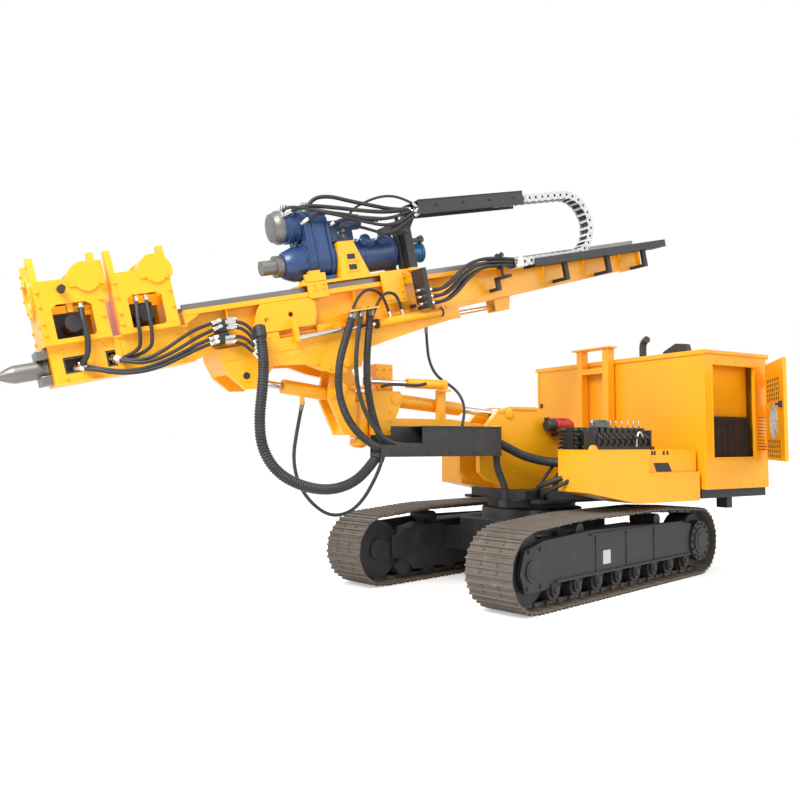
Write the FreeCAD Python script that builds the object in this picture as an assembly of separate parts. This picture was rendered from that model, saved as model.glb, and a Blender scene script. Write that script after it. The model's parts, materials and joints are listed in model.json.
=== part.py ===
import FreeCAD, Part
import math
import os

# Crawler down-the-hole drilling rig, millimetres.
# The frame is the upper works': +X runs forward to the drilling end, +Y to the machine's left,
# +Z up, and the origin is on the ground under the slewing ring's centre.

V = FreeCAD.Vector
xAxis, yAxis, zAxis = V(1, 0, 0), V(0, 1, 0), V(0, 0, 1)
origin = V(0, 0, 0)

# Driving dimensions of the undercarriage
trackTurn = 12.8          # the tracks stand turned under the slewed upper works, degrees
trackGauge = 1730         # between the two tracks' middles
shoeWidth = 460
shoeCount = 46
barHeight = 18
linkDepth = 50            # shoe plate and chain link together, under the bars
idlerX, idlerRadius = 1405, 338
carrierX, carrierRadius = 660, 130
trackTop = 722
bottomRollers = 8
eyeReach = 700            # recovery eyes, ahead of and behind the slewing ring
rollerPitch = 316
wheelSides = 20           # flats on a wheel or roller

# Driving dimensions of the upper works
ringRadius = 430
ringSplit = 702           # where the slewing ring's two races part
deckBottom, deckTop = 776, 890
housingFront, housingRear = -1130, -2090
housingHalf = 1190
housingTop = 2190
panel = 30
doorHinge = V(-2050, 1212, 0)
doorWidth, doorBottom, doorTop = 800, 1165, 2115
doorOpen = 45             # as it stands, degrees from shut
knuckles, knuckleLength = (1320, 1640, 1960), 60

# Driving dimensions of the boom
boomPivot = V(600, 0, 1430)
swingX = 1950
liftBase, liftHead = V(430, 0, 1610), V(1640, 0, 1720)
swingBase, swingEye = V(1150, 148, 1862), V(1950, 148, 1862)
swingReach = 155          # from the swing pin's axis to the pin in the cylinder's eye
troughRear, coverFront, troughFront = 712, 1563, 1965
tiltPin, tiltBase = V(2180, 0, 2010), V(2250, 0, 1750)

# Driving dimensions of the mast, whose own frame runs forward along the feed beam
mastDip = 13.3            # nose down, degrees
mastOrigin = V(1700, 0, 2300)
beamRear, beamFront = -3290, 1790
beamHalf = 150
beamBottom, beamTop = 130, 455
railTop = 505
drillAxis = 720           # height of the drilling axis over the mast's origin
spindleRadius = 62


def box(x0, x1, y0, y1, z0, z1):
    return Part.makeBox(x1 - x0, y1 - y0, z1 - z0, V(x0, y0, z0))


def rod(start, end, radius):
    along = end - start
    return Part.makeCylinder(radius, along.Length, start, along)


def prism(points, low, high, normal="y"):
    """A flat outline pushed from low to high; the outline's axes are the other two."""
    place = {
        "x": lambda a, b: V(low, a, b),
        "y": lambda a, b: V(a, low, b),
        "z": lambda a, b: V(a, b, low),
    }[normal]
    way = {"y": yAxis, "x": xAxis, "z": zAxis}[normal]
    corners = [place(a, b) for a, b in points]
    face = Part.Face(Part.makePolygon(corners + corners[:1]))
    return face.extrude(way * (high - low))


def wheel(x, low, high, z, radius):
    """Wheel or roller across the track, with flats for its rim."""
    turns = [2 * math.pi * (number + 0.5) / wheelSides for number in range(wheelSides)]
    return prism([(x + radius * math.cos(turn), z + radius * math.sin(turn)) for turn in turns], low, high)


def crossPin(middle, reach, radius):
    return rod(middle - yAxis * reach, middle + yAxis * reach, radius)


def fuse(shapes):
    first, rest = shapes[0], shapes[1:]
    whole = first.multiFuse(rest) if rest else first
    return whole.removeSplitter()


def turned(shape):
    """Tracks and car body, from straight to as they stand."""
    done = shape.copy()
    done.rotate(origin, zAxis, trackTurn)
    return done


def onMast(shape):
    """From the mast's own frame to the machine's."""
    done = shape.copy()
    done.rotate(origin, yAxis, mastDip)
    done.translate(mastOrigin)
    return done


def mastPoint(along, side, up):
    dip = math.radians(mastDip)
    forward = along * math.cos(dip) + up * math.sin(dip)
    return mastOrigin + V(forward, side, up * math.cos(dip) - along * math.sin(dip))


def mirrored(shape):
    return shape.mirror(origin, yAxis)


# Undercarriage

def beltPath(offset):
    """Circles that the track runs round, clockwise from the front idler: x, z, radius to the shoes' face."""
    wheels = [
        (idlerX, idlerRadius, idlerRadius - offset),
        (-idlerX, idlerRadius, idlerRadius - offset),
        (-carrierX, trackTop - carrierRadius, carrierRadius - offset),
        (carrierX, trackTop - carrierRadius, carrierRadius - offset),
    ]
    return wheels


def beltStations(offset):
    """Straight runs and arcs round the wheels, each as (kind, length, data)."""
    wheels = beltPath(offset)
    tangents = []
    for (x0, z0, r0), (x1, z1, r1) in zip(wheels, wheels[1:] + wheels[:1]):
        dx, dz = x1 - x0, z1 - z0
        gap = math.hypot(dx, dz)
        lean = math.asin((r0 - r1) / gap)
        out = math.atan2(dz, dx) + math.pi / 2 - lean
        tangents.append((out, (x0, z0, r0), (x1, z1, r1)))
    stations = []
    for number, (out, start, end) in enumerate(tangents):
        a = V(start[0] + start[2] * math.cos(out), 0, start[1] + start[2] * math.sin(out))
        b = V(end[0] + end[2] * math.cos(out), 0, end[1] + end[2] * math.sin(out))
        stations.append(("run", (b - a).Length, (a, b, out)))
        following = tangents[(number + 1) % len(tangents)][0]
        sweep = (out - following) % (2 * math.pi)
        stations.append(("arc", sweep * end[2], (end, out, sweep)))
    return stations


def onBelt(stations, distance):
    """Point and outward angle at a distance along the belt."""
    for kind, length, data in stations:
        if distance > length:
            distance -= length
            continue
        if kind == "run":
            a, b, out = data
            return a + (b - a) * (distance / length), out
        (x, z, r), out, sweep = data
        angle = out - sweep * distance / length
        return V(x + r * math.cos(angle), 0, z + r * math.sin(angle)), angle
    return onBelt(stations, 0)


def beltWire(offset):
    edges = []
    for kind, length, data in beltStations(offset):
        if kind == "run":
            edges.append(Part.LineSegment(data[0], data[1]).toShape())
            continue
        (x, z, r), out, sweep = data
        three = [V(x + r * math.cos(a), 0, z + r * math.sin(a)) for a in (out, out - sweep / 2, out - sweep)]
        edges.append(Part.Arc(*three).toShape())
    return Part.Wire(edges)


# One shoe's outer edge: share of the pitch along it, share of the bars' height
shoeOutline = [
    (0.03, 0.0), (0.07, 1.0), (0.15, 1.0), (0.19, 0.35),
    (0.44, 0.35), (0.48, 1.0), (0.56, 1.0), (0.60, 0.35),
    (0.80, 0.35), (0.84, 1.0), (0.92, 1.0), (0.96, 0.0),
]


def trackLoop(side):
    outer = beltStations(barHeight)
    whole = sum(length for _, length, _ in outer)
    pitch = whole / shoeCount
    points = []
    for shoe in range(shoeCount):
        for share, height in shoeOutline:
            place, out = onBelt(outer, (shoe + share) * pitch)
            points.append(place + V(math.cos(out), 0, math.sin(out)) * (height * barHeight))
    rims = [Part.makePolygon(points + points[:1]), beltWire(barHeight + linkDepth)]
    loop = Part.makeFace(rims, "Part::FaceMakerBullseye")
    band = loop.extrude(yAxis * shoeWidth)
    lowest = band.BoundBox.ZMin
    band.translate(V(0, side * trackGauge / 2 - shoeWidth / 2, -lowest))
    return turned(band)


def trackFrame(side):
    """Side frame with idler, sprocket, bottom rollers and carrier rollers."""
    middle = side * trackGauge / 2
    inside = barHeight + linkDepth + 1
    low, high = middle - 150, middle + 150
    outline = [
        (-1010, 215), (1010, 215), (1075, 280), (1075, 400), (960, 500), (560, 560), (-560, 560), (-960, 500),
        (-1075, 400), (-1075, 280),
    ]
    plate = [
        (-1250, 215), (1060, 215), (1250, 175), (1500, 175), (1560, 330), (1500, 500), (1250, 560),
        (560, 590), (-900, 560), (-1250, 520),
    ]
    face = sorted((middle + side * 150, middle + side * 185))
    parts = [prism(outline, low, high), prism(plate, *face)]
    for x in (-idlerX, idlerX):
        parts.append(wheel(x, low + 60, high - 20, idlerRadius, idlerRadius - inside))
        parts.append(wheel(x, low - 20, high, idlerRadius, 100))
        reach = math.copysign(1, x)
        parts.append(box(*sorted((x, x - reach * 380)), low, high, idlerRadius - 90, idlerRadius + 60))
    drive = sorted((middle + side * 150, middle + side * 205))
    parts.append(wheel(-idlerX, *drive, idlerRadius, 200))
    for number in range(bottomRollers):
        x = (number - (bottomRollers - 1) / 2) * rollerPitch
        parts.append(wheel(x, low - 20, high + 20, 158, 158 - inside))
    for x in (-carrierX, carrierX):
        z = trackTop - carrierRadius
        parts.append(wheel(x, low + 20, high - 20, z, carrierRadius - inside))
        parts.append(box(x - 60, x + 60, low + 90, high - 90, 520, z))
    return turned(fuse(parts))


def carBody():
    reach = trackGauge / 2 - 150
    outline = [
        (-560, -440), (-440, -560), (440, -560), (560, -440),
        (560, 440), (440, 560), (-440, 560), (-560, 440),
    ]
    parts = [prism(outline, 330, 600, "z")]
    for x in (-430, 430):
        parts.append(box(x - 110, x + 110, -reach, reach, 280, 500))
    parts.append(Part.makeCylinder(ringRadius + 60, ringSplit - 600, V(0, 0, 600)))
    for end in (-1, 1):
        lug = [(end * 540, -110), (end * 700, -70), (end * 780, 0), (end * 700, 70), (end * 540, 110)]
        parts.append(prism(lug, 370, 430, "z"))
    body = fuse(parts)
    for end in (-1, 1):
        body = body.cut(Part.makeCylinder(30, 100, V(end * eyeReach, 0, 350)))
    body = body.cut(Part.makeCylinder(150, 500, V(0, 0, 250)))
    return turned(body)


# Upper works

def upperFrame():
    outline = [
        (housingRear, -1150), (-1115, -1150), (-1115, -775), (-200, -775), (300, -420), (430, -420),
        (430, 420), (300, 420), (-200, 775), (-1115, 775), (-1115, 1150), (housingRear, 1150),
    ]
    plate = prism(outline, deckBottom + 30, deckTop, "z")
    ring = Part.makeCylinder(ringRadius, deckBottom + 30 - ringSplit - 8, V(0, 0, ringSplit + 8))
    sills = [box(housingRear, 400, y - 60, y + 60, deckBottom, deckBottom + 30) for y in (-520, 520)]
    hoseFoot = box(400, 650, 300, 410, 742, deckBottom + 30)
    return fuse([plate, ring, hoseFoot] + sills)


def boomBracket():
    """Two cheek plates for the boom's foot and its lift cylinder, on one base plate."""
    cheek = [
        (-760, deckTop), (430, deckTop), (690, 980), (780, 1060), (780, 1200), (690, 1500), (560, 1640),
        (400, 1680), (90, 1680), (-60, 1620), (-760, 1100),
    ]
    parts = []
    for y in (-190, 130):
        parts.append(prism(cheek, y, y + 60))
    parts.append(box(-760, 380, -190, 190, deckTop, deckTop + 60))
    bracket = fuse(parts)
    return fuse([bracket, crossPin(boomPivot, 190, 42), crossPin(liftBase, 190, 30)])


def panelFront():
    return box(housingFront - panel, housingFront, -housingHalf, housingHalf, deckTop, housingTop)


def panelRear():
    return box(housingRear, housingRear + panel, -housingHalf, housingHalf, deckTop, housingTop)


def sidePanel(side):
    y = sorted((side * housingHalf, side * (housingHalf - panel)))
    wall = box(housingRear + panel, housingFront - panel, y[0], y[1], deckTop, housingTop)
    return wall


def panelLeft():
    wall = sidePanel(1).cut(box(-1890, -1250, 1000, 1300, 1195, 2085))
    parts = [wall]
    for z in knuckles:
        parts.append(box(doorHinge.x - 12, doorHinge.x + 12, housingHalf, doorHinge.y, z, z + knuckleLength))
        parts.append(Part.makeCylinder(14, knuckleLength, V(doorHinge.x, doorHinge.y, z)))
    return fuse(parts)


def roof():
    lip = 18
    side = housingHalf + lip
    return box(housingRear - lip, housingFront + lip, -side, side, housingTop, housingTop + 34)


def radiator():
    return box(-1900, -1240, 1010, 1110, deckTop, 1590)


def innerPanel():
    return box(-1900, -1240, 1060, 1090, 1590, 2160)


def engine():
    return box(-1950, -1280, -900, 560, deckTop, 1750)


def exhaust():
    foot = rod(V(-1500, 160, housingTop + 34), V(-1500, 160, 2400), 38)
    tip = rod(V(-1500, 160, 2395), V(-1470, 60, 2450), 38)
    return fuse([foot, tip])


def mastRest():
    parts = []
    for y in (-355, 35):
        parts.append(box(-1108, -1010, y - 40, y + 40, deckTop, 2345))
    parts.append(box(-1108, -1010, -355, 35, 2080, 2140))
    parts.append(box(-1108, -980, -440, 120, 2345, 2362))
    return fuse(parts)


def console():
    side = [
        (-1090, 790), (-260, 790), (350, 905), (350, 1270), (-400, 1270), (-400, 1062), (-1090, 1062),
    ]
    body = prism(side, 775, 1150)
    return body


def valveBank():
    block = box(-640, 120, 860, 1010, 1270, 1400)
    parts = [block]
    for number in range(8):
        x = -590 + number * 94
        parts.append(prism([(x - 8, 1400), (x + 8, 1400), (x + 22, 1525), (x + 6, 1525)], 930, 946))
    return fuse(parts)


def consoleRear():
    return box(-1090, -400, 775, 1110, 1062, 1270)


def pumpUnit():
    body = rod(V(-290, 270, 1505), V(-60, 270, 1505), 72)
    drive = rod(V(-60, 270, 1505), V(40, 270, 1505), 64)
    foot = box(-250, -100, 190, 320, 1400, 1450)
    return fuse([body, drive, foot])


def hoseManifold():
    return box(-330, -40, 420, 560, deckTop, 1480)


def fuelTank():
    side = [(-1090, 790), (-260, 790), (300, 905), (300, 1230), (-1090, 1230)]
    return prism(side, -1150, -775)


# The side door, open

def sideDoor():
    inner, outer = doorHinge.y - 14, doorHinge.y + 16
    parts = [box(doorHinge.x + 22, doorHinge.x + doorWidth, inner, outer, doorBottom, doorTop)]
    for z in knuckles:
        low = z - knuckleLength - 1
        high = low + knuckleLength
        parts.append(box(doorHinge.x, doorHinge.x + 30, doorHinge.y - 12, doorHinge.y + 14, low, high))
        parts.append(Part.makeCylinder(14, knuckleLength, V(doorHinge.x, doorHinge.y, low)))
    leaf = fuse(parts)
    leaf.rotate(doorHinge, zAxis, doorOpen)
    return leaf


# Boom

def boomArm():
    side = [
        (520, 1350), (680, 1340), (1640, 1340), (1700, 1310), (1870, 1310), (1870, 1785), (1600, 1790),
        (1560, 1740), (1640, 1550), (1050, 1550), (680, 1510), (520, 1510),
    ]
    parts = [prism(side, -110, 110)]
    for low, high in ((1310, 1370), (1700, 1760)):
        parts.append(box(1860, swingX, -80, 80, low, high))
        parts.append(Part.makeCylinder(80, high - low, V(swingX, 0, low)))
    parts.append(box(1640, 1810, -55, 55, 1785, 2030))
    parts.append(box(1105, 1195, 72, 110, 1540, 1800))
    parts.append(box(1105, 1195, 72, 200, 1800, 1817))
    slot = box(1500, 1700, -70, 70, 1600, 1783)
    arm = fuse(parts).cut(crossPin(boomPivot, 200, 44)).cut(slot)
    swingPin = Part.makeCylinder(38, 485, V(swingX, 0, 1290))
    rearPin = Part.makeCylinder(20, 100, V(swingBase.x, swingBase.y, 1810))
    return fuse([arm, crossPin(liftHead, 110, 26), swingPin, rearPin])


def hoseTrough():
    outer = box(troughRear, troughFront, 230, 430, 1218, 1478)
    hollow = box(troughRear - 20, troughFront + 20, 240, 420, 1228, 1468)
    mouth = box(coverFront, troughFront + 20, 240, 420, 1228, 1500)
    nearCut = box(coverFront, troughFront + 20, 415, 440, 1318, 1500)
    farCut = box(coverFront + 200, troughFront + 20, 220, 245, 1400, 1500)
    floorCut = box(troughFront - 115, troughFront + 20, 240, 420, 1200, 1230)
    trough = outer.cut(hollow).cut(mouth).cut(nearCut).cut(farCut).cut(floorCut)
    feet = [box(x, x + 60, 110, 230, 1380, 1440) for x in (840, 1400)]
    return fuse([trough] + feet)


def troughHoses():
    """The hoses' stretch that lies in the trough, from its rear end to where the loose hoses drop in."""
    hosesLying = []
    for radius, y, z, front in ((33, 370, 1262, 1768), (19, 397, 1314, 1755), (32, 284, 1262, 1750)):
        hosesLying.append(rod(V(troughRear, y, z), V(front, y, z), radius))
    return Part.makeCompound(hosesLying)


def cylinderBarrel(base, eye, turns, sizes):
    """Barrel with its rear eye at base; sizes: length, radius, bore, eye radius, half width, pin radius."""
    length, radius, bore, eyeRadius, half, pin = sizes
    way = (eye - base).normalize()
    ear = rod(base - turns * half, base + turns * half, eyeRadius)
    body = rod(base + way * (eyeRadius - 15), base + way * length, radius)
    hole = rod(base + way * (eyeRadius + 20), base + way * (length + 50), bore)
    return fuse([ear, body]).cut(hole).cut(rod(base - turns * 99, base + turns * 99, pin + 1))


def cylinderRod(base, eye, turns, sizes):
    """Rod with its eye; sizes: length, radius, eye radius, half width, radius of the eye's hole."""
    length, radius, eyeRadius, half, hole = sizes
    way = (base - eye).normalize()
    ear = rod(eye - turns * half, eye + turns * half, eyeRadius)
    shaft = rod(eye + way * (eyeRadius - 8), eye + way * length, radius)
    return fuse([ear, shaft]).cut(rod(eye - turns * 99, eye + turns * 99, hole))


def swingHead():
    """Barrel on the upright pin, and two cheeks for the cradle's pin and the tilt cylinder's foot."""
    barrel = Part.makeCylinder(78, 318, V(swingX, 0, 1376))
    neck = box(swingX + 50, 2150, -70, 70, 1400, 1680)
    side = [
        (2042, 1400), (2150, 1400), (2290, 1690), (2295, 1770), (2252, 2010), (2108, 2010), (2042, 1880),
    ]
    parts = [barrel, neck]
    for y in (-110, 70):
        parts.append(prism(side, y, y + 40))
        parts.append(rod(V(tiltPin.x, y, tiltPin.z), V(tiltPin.x, y + 40, tiltPin.z), 72))
    parts.append(box(1915, 2100, 80, 200, 1796, 1817))
    parts.append(Part.makeCylinder(20, 95, V(swingX, swingReach, 1810)))
    head = fuse(parts).cut(Part.makeCylinder(40, 500, V(swingX, 0, 1300)))
    return fuse([head, crossPin(tiltPin, 235, 40), crossPin(tiltBase, 110, 27)])


# Mast: cradle, feed beam and what stands on it, drawn in the mast's own frame

def mastCradle():
    cheek = [
        (-720, 30), (-300, -10), (100, -60), (330, -90), (400, -230), (620, -260), (760, -200), (900, -120),
        (1180, -80), (1330, -240), (1450, -220), (1560, -90), (1600, 50), (1600, 120), (-720, 120),
    ]
    parts = []
    for y in (-210, 160):
        parts.append(prism(cheek, y, y + 50))
    floor = [
        (-720, 30), (100, -50), (330, -80), (1560, -80), (1600, 50),
        (1600, beamBottom - 5), (-720, beamBottom - 5),
    ]
    parts.append(prism(floor, -165, 165))
    for along in (-700, -200, 500, 1070):
        for y in (-1, 1):
            wall, lip = sorted((y * 160, y * 185)), sorted((y * 128, y * 185))
            parts.append(box(along, along + 220, *wall, 110, beamBottom + 50))
            parts.append(box(along, along + 220, *lip, beamBottom + 30, beamBottom + 50))
    parts.append(box(210, 490, 160, 380, 226, 238))
    parts.append(box(300, 400, 160, 210, 115, 226))
    parts.append(rod(V(-500, 245, 100), V(200, 245, 100), 38))
    parts.append(box(-480, -380, 205, 245, 75, 125))
    parts.append(box(60, 160, 205, 245, 75, 125))
    for y in (-100, 60):
        parts.append(box(1270, 1340, y, y + 40, -215, -70))
    cradle = fuse(parts)
    pinAlong, pinUp = mastPin()
    cradle = cradle.cut(rod(V(-760, 0, 72), V(640, 0, 72), 27))
    cradle = cradle.cut(rod(V(-520, 245, 100), V(260, 245, 100), 24))
    cradle = cradle.cut(rod(V(pinAlong, -300, pinUp), V(pinAlong, 300, pinUp), 42))
    eyePin = rod(V(1305, -100, -170), V(1305, 100, -170), 22)
    return onMast(fuse([cradle, eyePin]))


def mastPin():
    dip = math.radians(mastDip)
    away = tiltPin - mastOrigin
    return away.x * math.cos(dip) - away.z * math.sin(dip), away.x * math.sin(dip) + away.z * math.cos(dip)


def feedBeam():
    side = [(beamRear, 215), (-1000, beamBottom), (beamFront, beamBottom), (beamFront, 430), (beamRear, 430)]
    web = prism(side, 30 - beamHalf, beamHalf - 30)
    top = box(beamRear, beamFront, -beamHalf - 25, beamHalf + 25, 430, beamTop)
    sole = box(-1000, beamFront, -beamHalf, beamHalf, beamBottom, beamBottom + 22)
    lug = prism([(-1460, 160), (-1440, 25), (-1260, 25), (-1260, 140)], -60, 60)
    sideLug = prism([(110, 190), (225, 190), (225, 70), (270, 70), (270, 250), (110, 250)], 930, 970, "x")
    return onMast(fuse([web, top, sole, lug, sideLug]))


def slideRods():
    middle = rod(V(-1260, 0, 72), V(60, 0, 72), 22)
    near = rod(V(-300, 245, 100), V(930, 245, 100), 20)
    return onMast(Part.makeCompound([middle, near]))


def feedRails():
    parts = []
    for y in (-150, 110):
        parts.append(box(beamRear + 60, beamFront, y, y + 40, beamTop, railTop))
    return onMast(Part.makeCompound(parts))


def frontBox():
    shell = box(1790, 2780, -180, 180, 65, 345)
    hollow = box(1800, 2760, -160, 160, 85, 325)
    windows = [box(a, b, -300, 300, 150, 240) for a, b in ((2560, 2690), (2310, 2400))]
    tip = rod(V(2760, 0, 205), V(3000, 0, 205), 62)
    point = Part.makeCone(62, 20, 110, V(3000, 0, 205), xAxis)
    pads = [box(2780, 2850, -120, 120, z, z + 60) for z in (90, 270)]
    body = shell.cut(hollow)
    for window in windows:
        body = body.cut(window)
    return onMast(fuse([body, tip, point] + pads))


def clampUnit(front, rear, hump):
    yoke = [
        (-225, 345), (225, 345), (225, 760), (190, 960), (130, 960), (110, 800), (-110, 800), (-130, 960),
        (-190, 960), (-225, 760),
    ]
    parts = [prism(yoke, at, at + 45, "x") for at in (rear, front - 45)]
    walls = [box(rear, front, y, y + 30, 345, 790) for y in (-225, 195)]
    unit = fuse(parts + walls + [rod(V(hump, -240, 770), V(hump, 240, 770), 85)])
    window = box(rear + 90, front - 90, -300, 300, 380, 620)
    throat = rod(V(rear - 10, 0, drillAxis), V(front + 10, 0, drillAxis), 105)
    mouth = box(rear - 10, front + 10, -105, 105, drillAxis, 1100)
    guide = rod(V(2620, -300, drillAxis), V(2620, 300, drillAxis), 28)
    return onMast(unit.cut(window).cut(throat).cut(mouth).cut(guide))


def jaw(side):
    block = box(2540, 2700, 125, 190, 660, 780)
    jawWhole = fuse([block, rod(V(2620, 185, drillAxis), V(2620, 290, drillAxis), 25)])
    return onMast(jawWhole if side > 0 else mirrored(jawWhole))


def chainTray():
    tray = box(-3430, -1560, 235, 415, 365, 440).cut(box(-3440, -1550, 247, 403, 377, 450))
    arm = [(120, 192), (330, 192), (330, 365), (290, 365), (290, 225), (120, 225)]
    arms = [prism(arm, along, along + 50, "x") for along in (-3200, -2650, -2050)]
    return onMast(fuse([tray] + arms))


chainMiddle, chainLow, chainHigh, chainDepth = -2110, 385, 1060, 85
chainNear, chainFar = 260, 390


def dragChain():
    upper = box(chainMiddle, -1300, chainNear, chainFar, chainHigh - chainDepth, chainHigh)
    lower = box(chainMiddle, -1420, chainNear, chainFar, chainLow, chainLow + chainDepth)
    reach = (chainHigh - chainLow) / 2
    middle = V(chainMiddle, chainNear, (chainHigh + chainLow) / 2)
    bend = Part.makeCylinder(reach, chainFar - chainNear, middle, yAxis)
    bend = bend.cut(Part.makeCylinder(reach - chainDepth, chainFar - chainNear, middle, yAxis))
    bend = bend.cut(box(chainMiddle, chainMiddle + 500, 200, 500, 0, 1200))
    return onMast(fuse([upper, lower, bend]))


def chainCover():
    cover = box(-1560, -360, 240, 410, 960, 1085).cut(box(-1570, -350, 252, 398, 950, 1072))
    arm = [(-345, 535), (-265, 535), (-265, 900), (-345, 1085), (-430, 1085), (-430, 1000), (-345, 880)]
    return onMast(fuse([cover, prism(arm, 172, 240)]))


def hoseBulkhead():
    """Plate where the chain's hoses end, a clamp for them, and two blocks for the rod clamps' hoses."""
    plate = box(-300, -255, 240, 420, 150, 500)
    arm = box(-300, -255, 120, 250, 185, 215)
    bracket = [
        (120, 205), (250, 205), (250, 300), (430, 300), (430, 330), (225, 330), (225, 235), (120, 235),
    ]
    clamp = prism(bracket, -1230, -1180, "x")
    blocks = [box(1475, 1580, 120, 258, 248, 340), box(1510, 1630, 120, 262, 165, 240)]
    return onMast(Part.makeCompound([fuse([plate, arm]), clamp] + blocks))


def carriage():
    plate = box(-345, 760, -200, 200, railTop + 5, railTop + 30)
    feet = []
    for along in (-330, 560):
        for y in (-200, 180):
            feet.append(box(along, along + 180, y, y + 20, 400, railTop + 30))
    stand = prism([(120, 535), (405, 535), (380, 840), (230, 840)], -190, 190)
    stand = stand.cut(rod(V(100, 0, drillAxis), V(500, 0, drillAxis), 150.5))
    flange = box(-180, 40, 200, 216, 250, railTop + 30)
    side = box(-345, -250, 160, 240, railTop + 5, railTop + 30)
    return onMast(fuse([plate] + feet + [stand, flange, side]))


def rotaryHead():
    bell = rod(V(640, 0, drillAxis), V(840, 0, drillAxis), 145)
    gearbox = box(420, 660, -170, 170, 545, 1000)
    crown = rod(V(420, 0, 1000), V(660, 0, 1000), 170)
    foot = box(430, 650, -150, 150, railTop + 30, 545)
    head = fuse([bell, gearbox, crown, foot])
    return onMast(head.cut(rod(V(400, 0, drillAxis), V(900, 0, drillAxis), spindleRadius + 8)))


def headMotors():
    rear = rod(V(-240, 0, drillAxis), V(420, 0, drillAxis), 150)
    upper = rod(V(660, 0, 1040), V(870, 0, 1040), 140)
    low = rod(V(-560, 0, drillAxis - 30), V(-240, 0, drillAxis - 30), 90)
    block = box(180, 420, -110, 110, 860, 1030)
    post = box(-330, -240, -160, 160, railTop + 30, 960)
    rear = fuse([rear, low, block, post])
    rear = rear.cut(rod(V(300, 0, drillAxis), V(500, 0, drillAxis), spindleRadius + 8))
    return onMast(Part.makeCompound([rear, upper]))


def spindle():
    shaft = rod(V(330, 0, drillAxis), V(1030, 0, drillAxis), spindleRadius)
    collar = rod(V(850, 0, drillAxis), V(910, 0, drillAxis), 92)
    return onMast(fuse([shaft, collar]))


def tiltEye():
    return mastPoint(1305, 0, -170)


# Hydraulic cylinders: rear pin, rod's eye, axis of the pins, barrel sizes, rod sizes
cylinders = {
    "lift": (liftHead, liftBase, yAxis, (760, 62, 37, 55, 50, 26), (820, 34, 55, 45, 35)),
    "swing": (swingBase, swingEye, zAxis, (400, 44, 25, 36, 35, 20), (660, 22, 40, 35, 29)),
    "tilt": (tiltBase, tiltEye(), yAxis, (425, 60, 33, 48, 45, 27), (440, 30, 44, 45, 31)),
}


# Hoses: thickness, then the route's points
hoses = {
    "hose_mast": (86, [
        (2990, 300, 2230), (2965, 345, 2010), (2990, 390, 1770), (3030, 420, 1520), (3010, 430, 1290),
        (2890, 430, 1110), (2700, 425, 1005), (2470, 405, 955), (2250, 380, 985), (2070, 355, 1090),
        (1945, 335, 1235),
    ]),
    "hose_tilt": (30, [
        (2501, 20, 1650), (2555, 40, 1430), (2610, 90, 1200), (2590, 165, 990), (2490, 225, 830),
        (2350, 270, 735), (2190, 300, 760), (2080, 335, 870), (2005, 372, 1020), (1960, 400, 1140),
        (1935, 402, 1225),
    ]),
    "hose_head_near": (66, [
        (2188, 334, 2394), (2270, 375, 2200), (2355, 415, 1975), (2365, 425, 1750), (2290, 405, 1555),
        (2160, 385, 1405), (2010, 375, 1310), (1880, 370, 1265), (1770, 370, 1262),
    ]),
    "hose_head_thin": (38, [
        (2111, 347, 2421), (2180, 395, 2180), (2205, 420, 1940), (2175, 425, 1715), (2070, 405, 1510),
        (1950, 397, 1395), (1850, 397, 1330), (1765, 397, 1314),
    ]),
    "hose_head_far": (64, [
        (2002, 302, 2443), (2035, 325, 2240), (2065, 350, 2020), (2060, 350, 1800), (2000, 325, 1590),
        (1935, 305, 1440), (1870, 290, 1330), (1770, 284, 1266),
    ]),
    "hose_cradle": (26, [
        (1346, 150, 2375), (1330, 140, 2230), (1290, 110, 2080), (1200, 85, 1955), (1090, 90, 1890),
        (1015, 130, 1830), (985, 190, 1750), (1000, 255, 1660), (1040, 305, 1565), (1077, 328, 1486),
    ]),
    "hose_console": (44, [
        (712, 345, 1345), (575, 345, 1290), (420, 365, 1215), (250, 440, 1165), (130, 560, 1145),
        (62, 670, 1158), (62, 774.8, 1158),
    ]),
    "hose_ring_rear": (40, [
        (60, 772, 1095), (75, 670, 1098), (95, 580, 1080), (112, 510, 1025), (118, 480, 950), (118, 475, 892),
    ]),
    "hose_ring_front": (68, [
        (705, 345, 1217), (705, 345, 1130), (672, 351, 1040), (635, 356, 962), (613, 358, 886),
        (613, 358, 806.3),
    ]),
}


def hoseTube(thickness, route):
    """Straight runs joined by tangent arcs, each as large as its two runs allow."""
    points = [V(*point) for point in route]
    edges, start, radii = [], points[0], []
    for before, corner, after in zip(points, points[1:], points[2:]):
        back, ahead = (before - corner), (after - corner)
        reach = 0.45 * min(back.Length, ahead.Length)
        back.normalize()
        ahead.normalize()
        turn = math.pi - back.getAngle(ahead)
        radius = reach / math.tan(turn / 2)
        radii.append(radius)
        bisector = (back + ahead).normalize()
        middle = corner + bisector * (radius / math.cos(turn / 2) - radius)
        enter, leave = corner + back * reach, corner + ahead * reach
        edges.append(Part.LineSegment(start, enter).toShape())
        edges.append(Part.Arc(enter, middle, leave).toShape())
        start = leave
    edges.append(Part.LineSegment(start, points[-1]).toShape())
    path = Part.Wire(edges)
    rim = Part.Wire(Part.makeCircle(thickness / 2, points[0], points[1] - points[0]))
    hose = path.makePipeShell([rim], True, False)
    share = hose.Volume / (math.pi * thickness ** 2 / 4 * path.Length)
    print("hose", thickness, "mm thick,", round(path.Length), "mm long, tightest radius", round(min(radii)),
          "volume", round(share, 3))
    return hose


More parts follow.
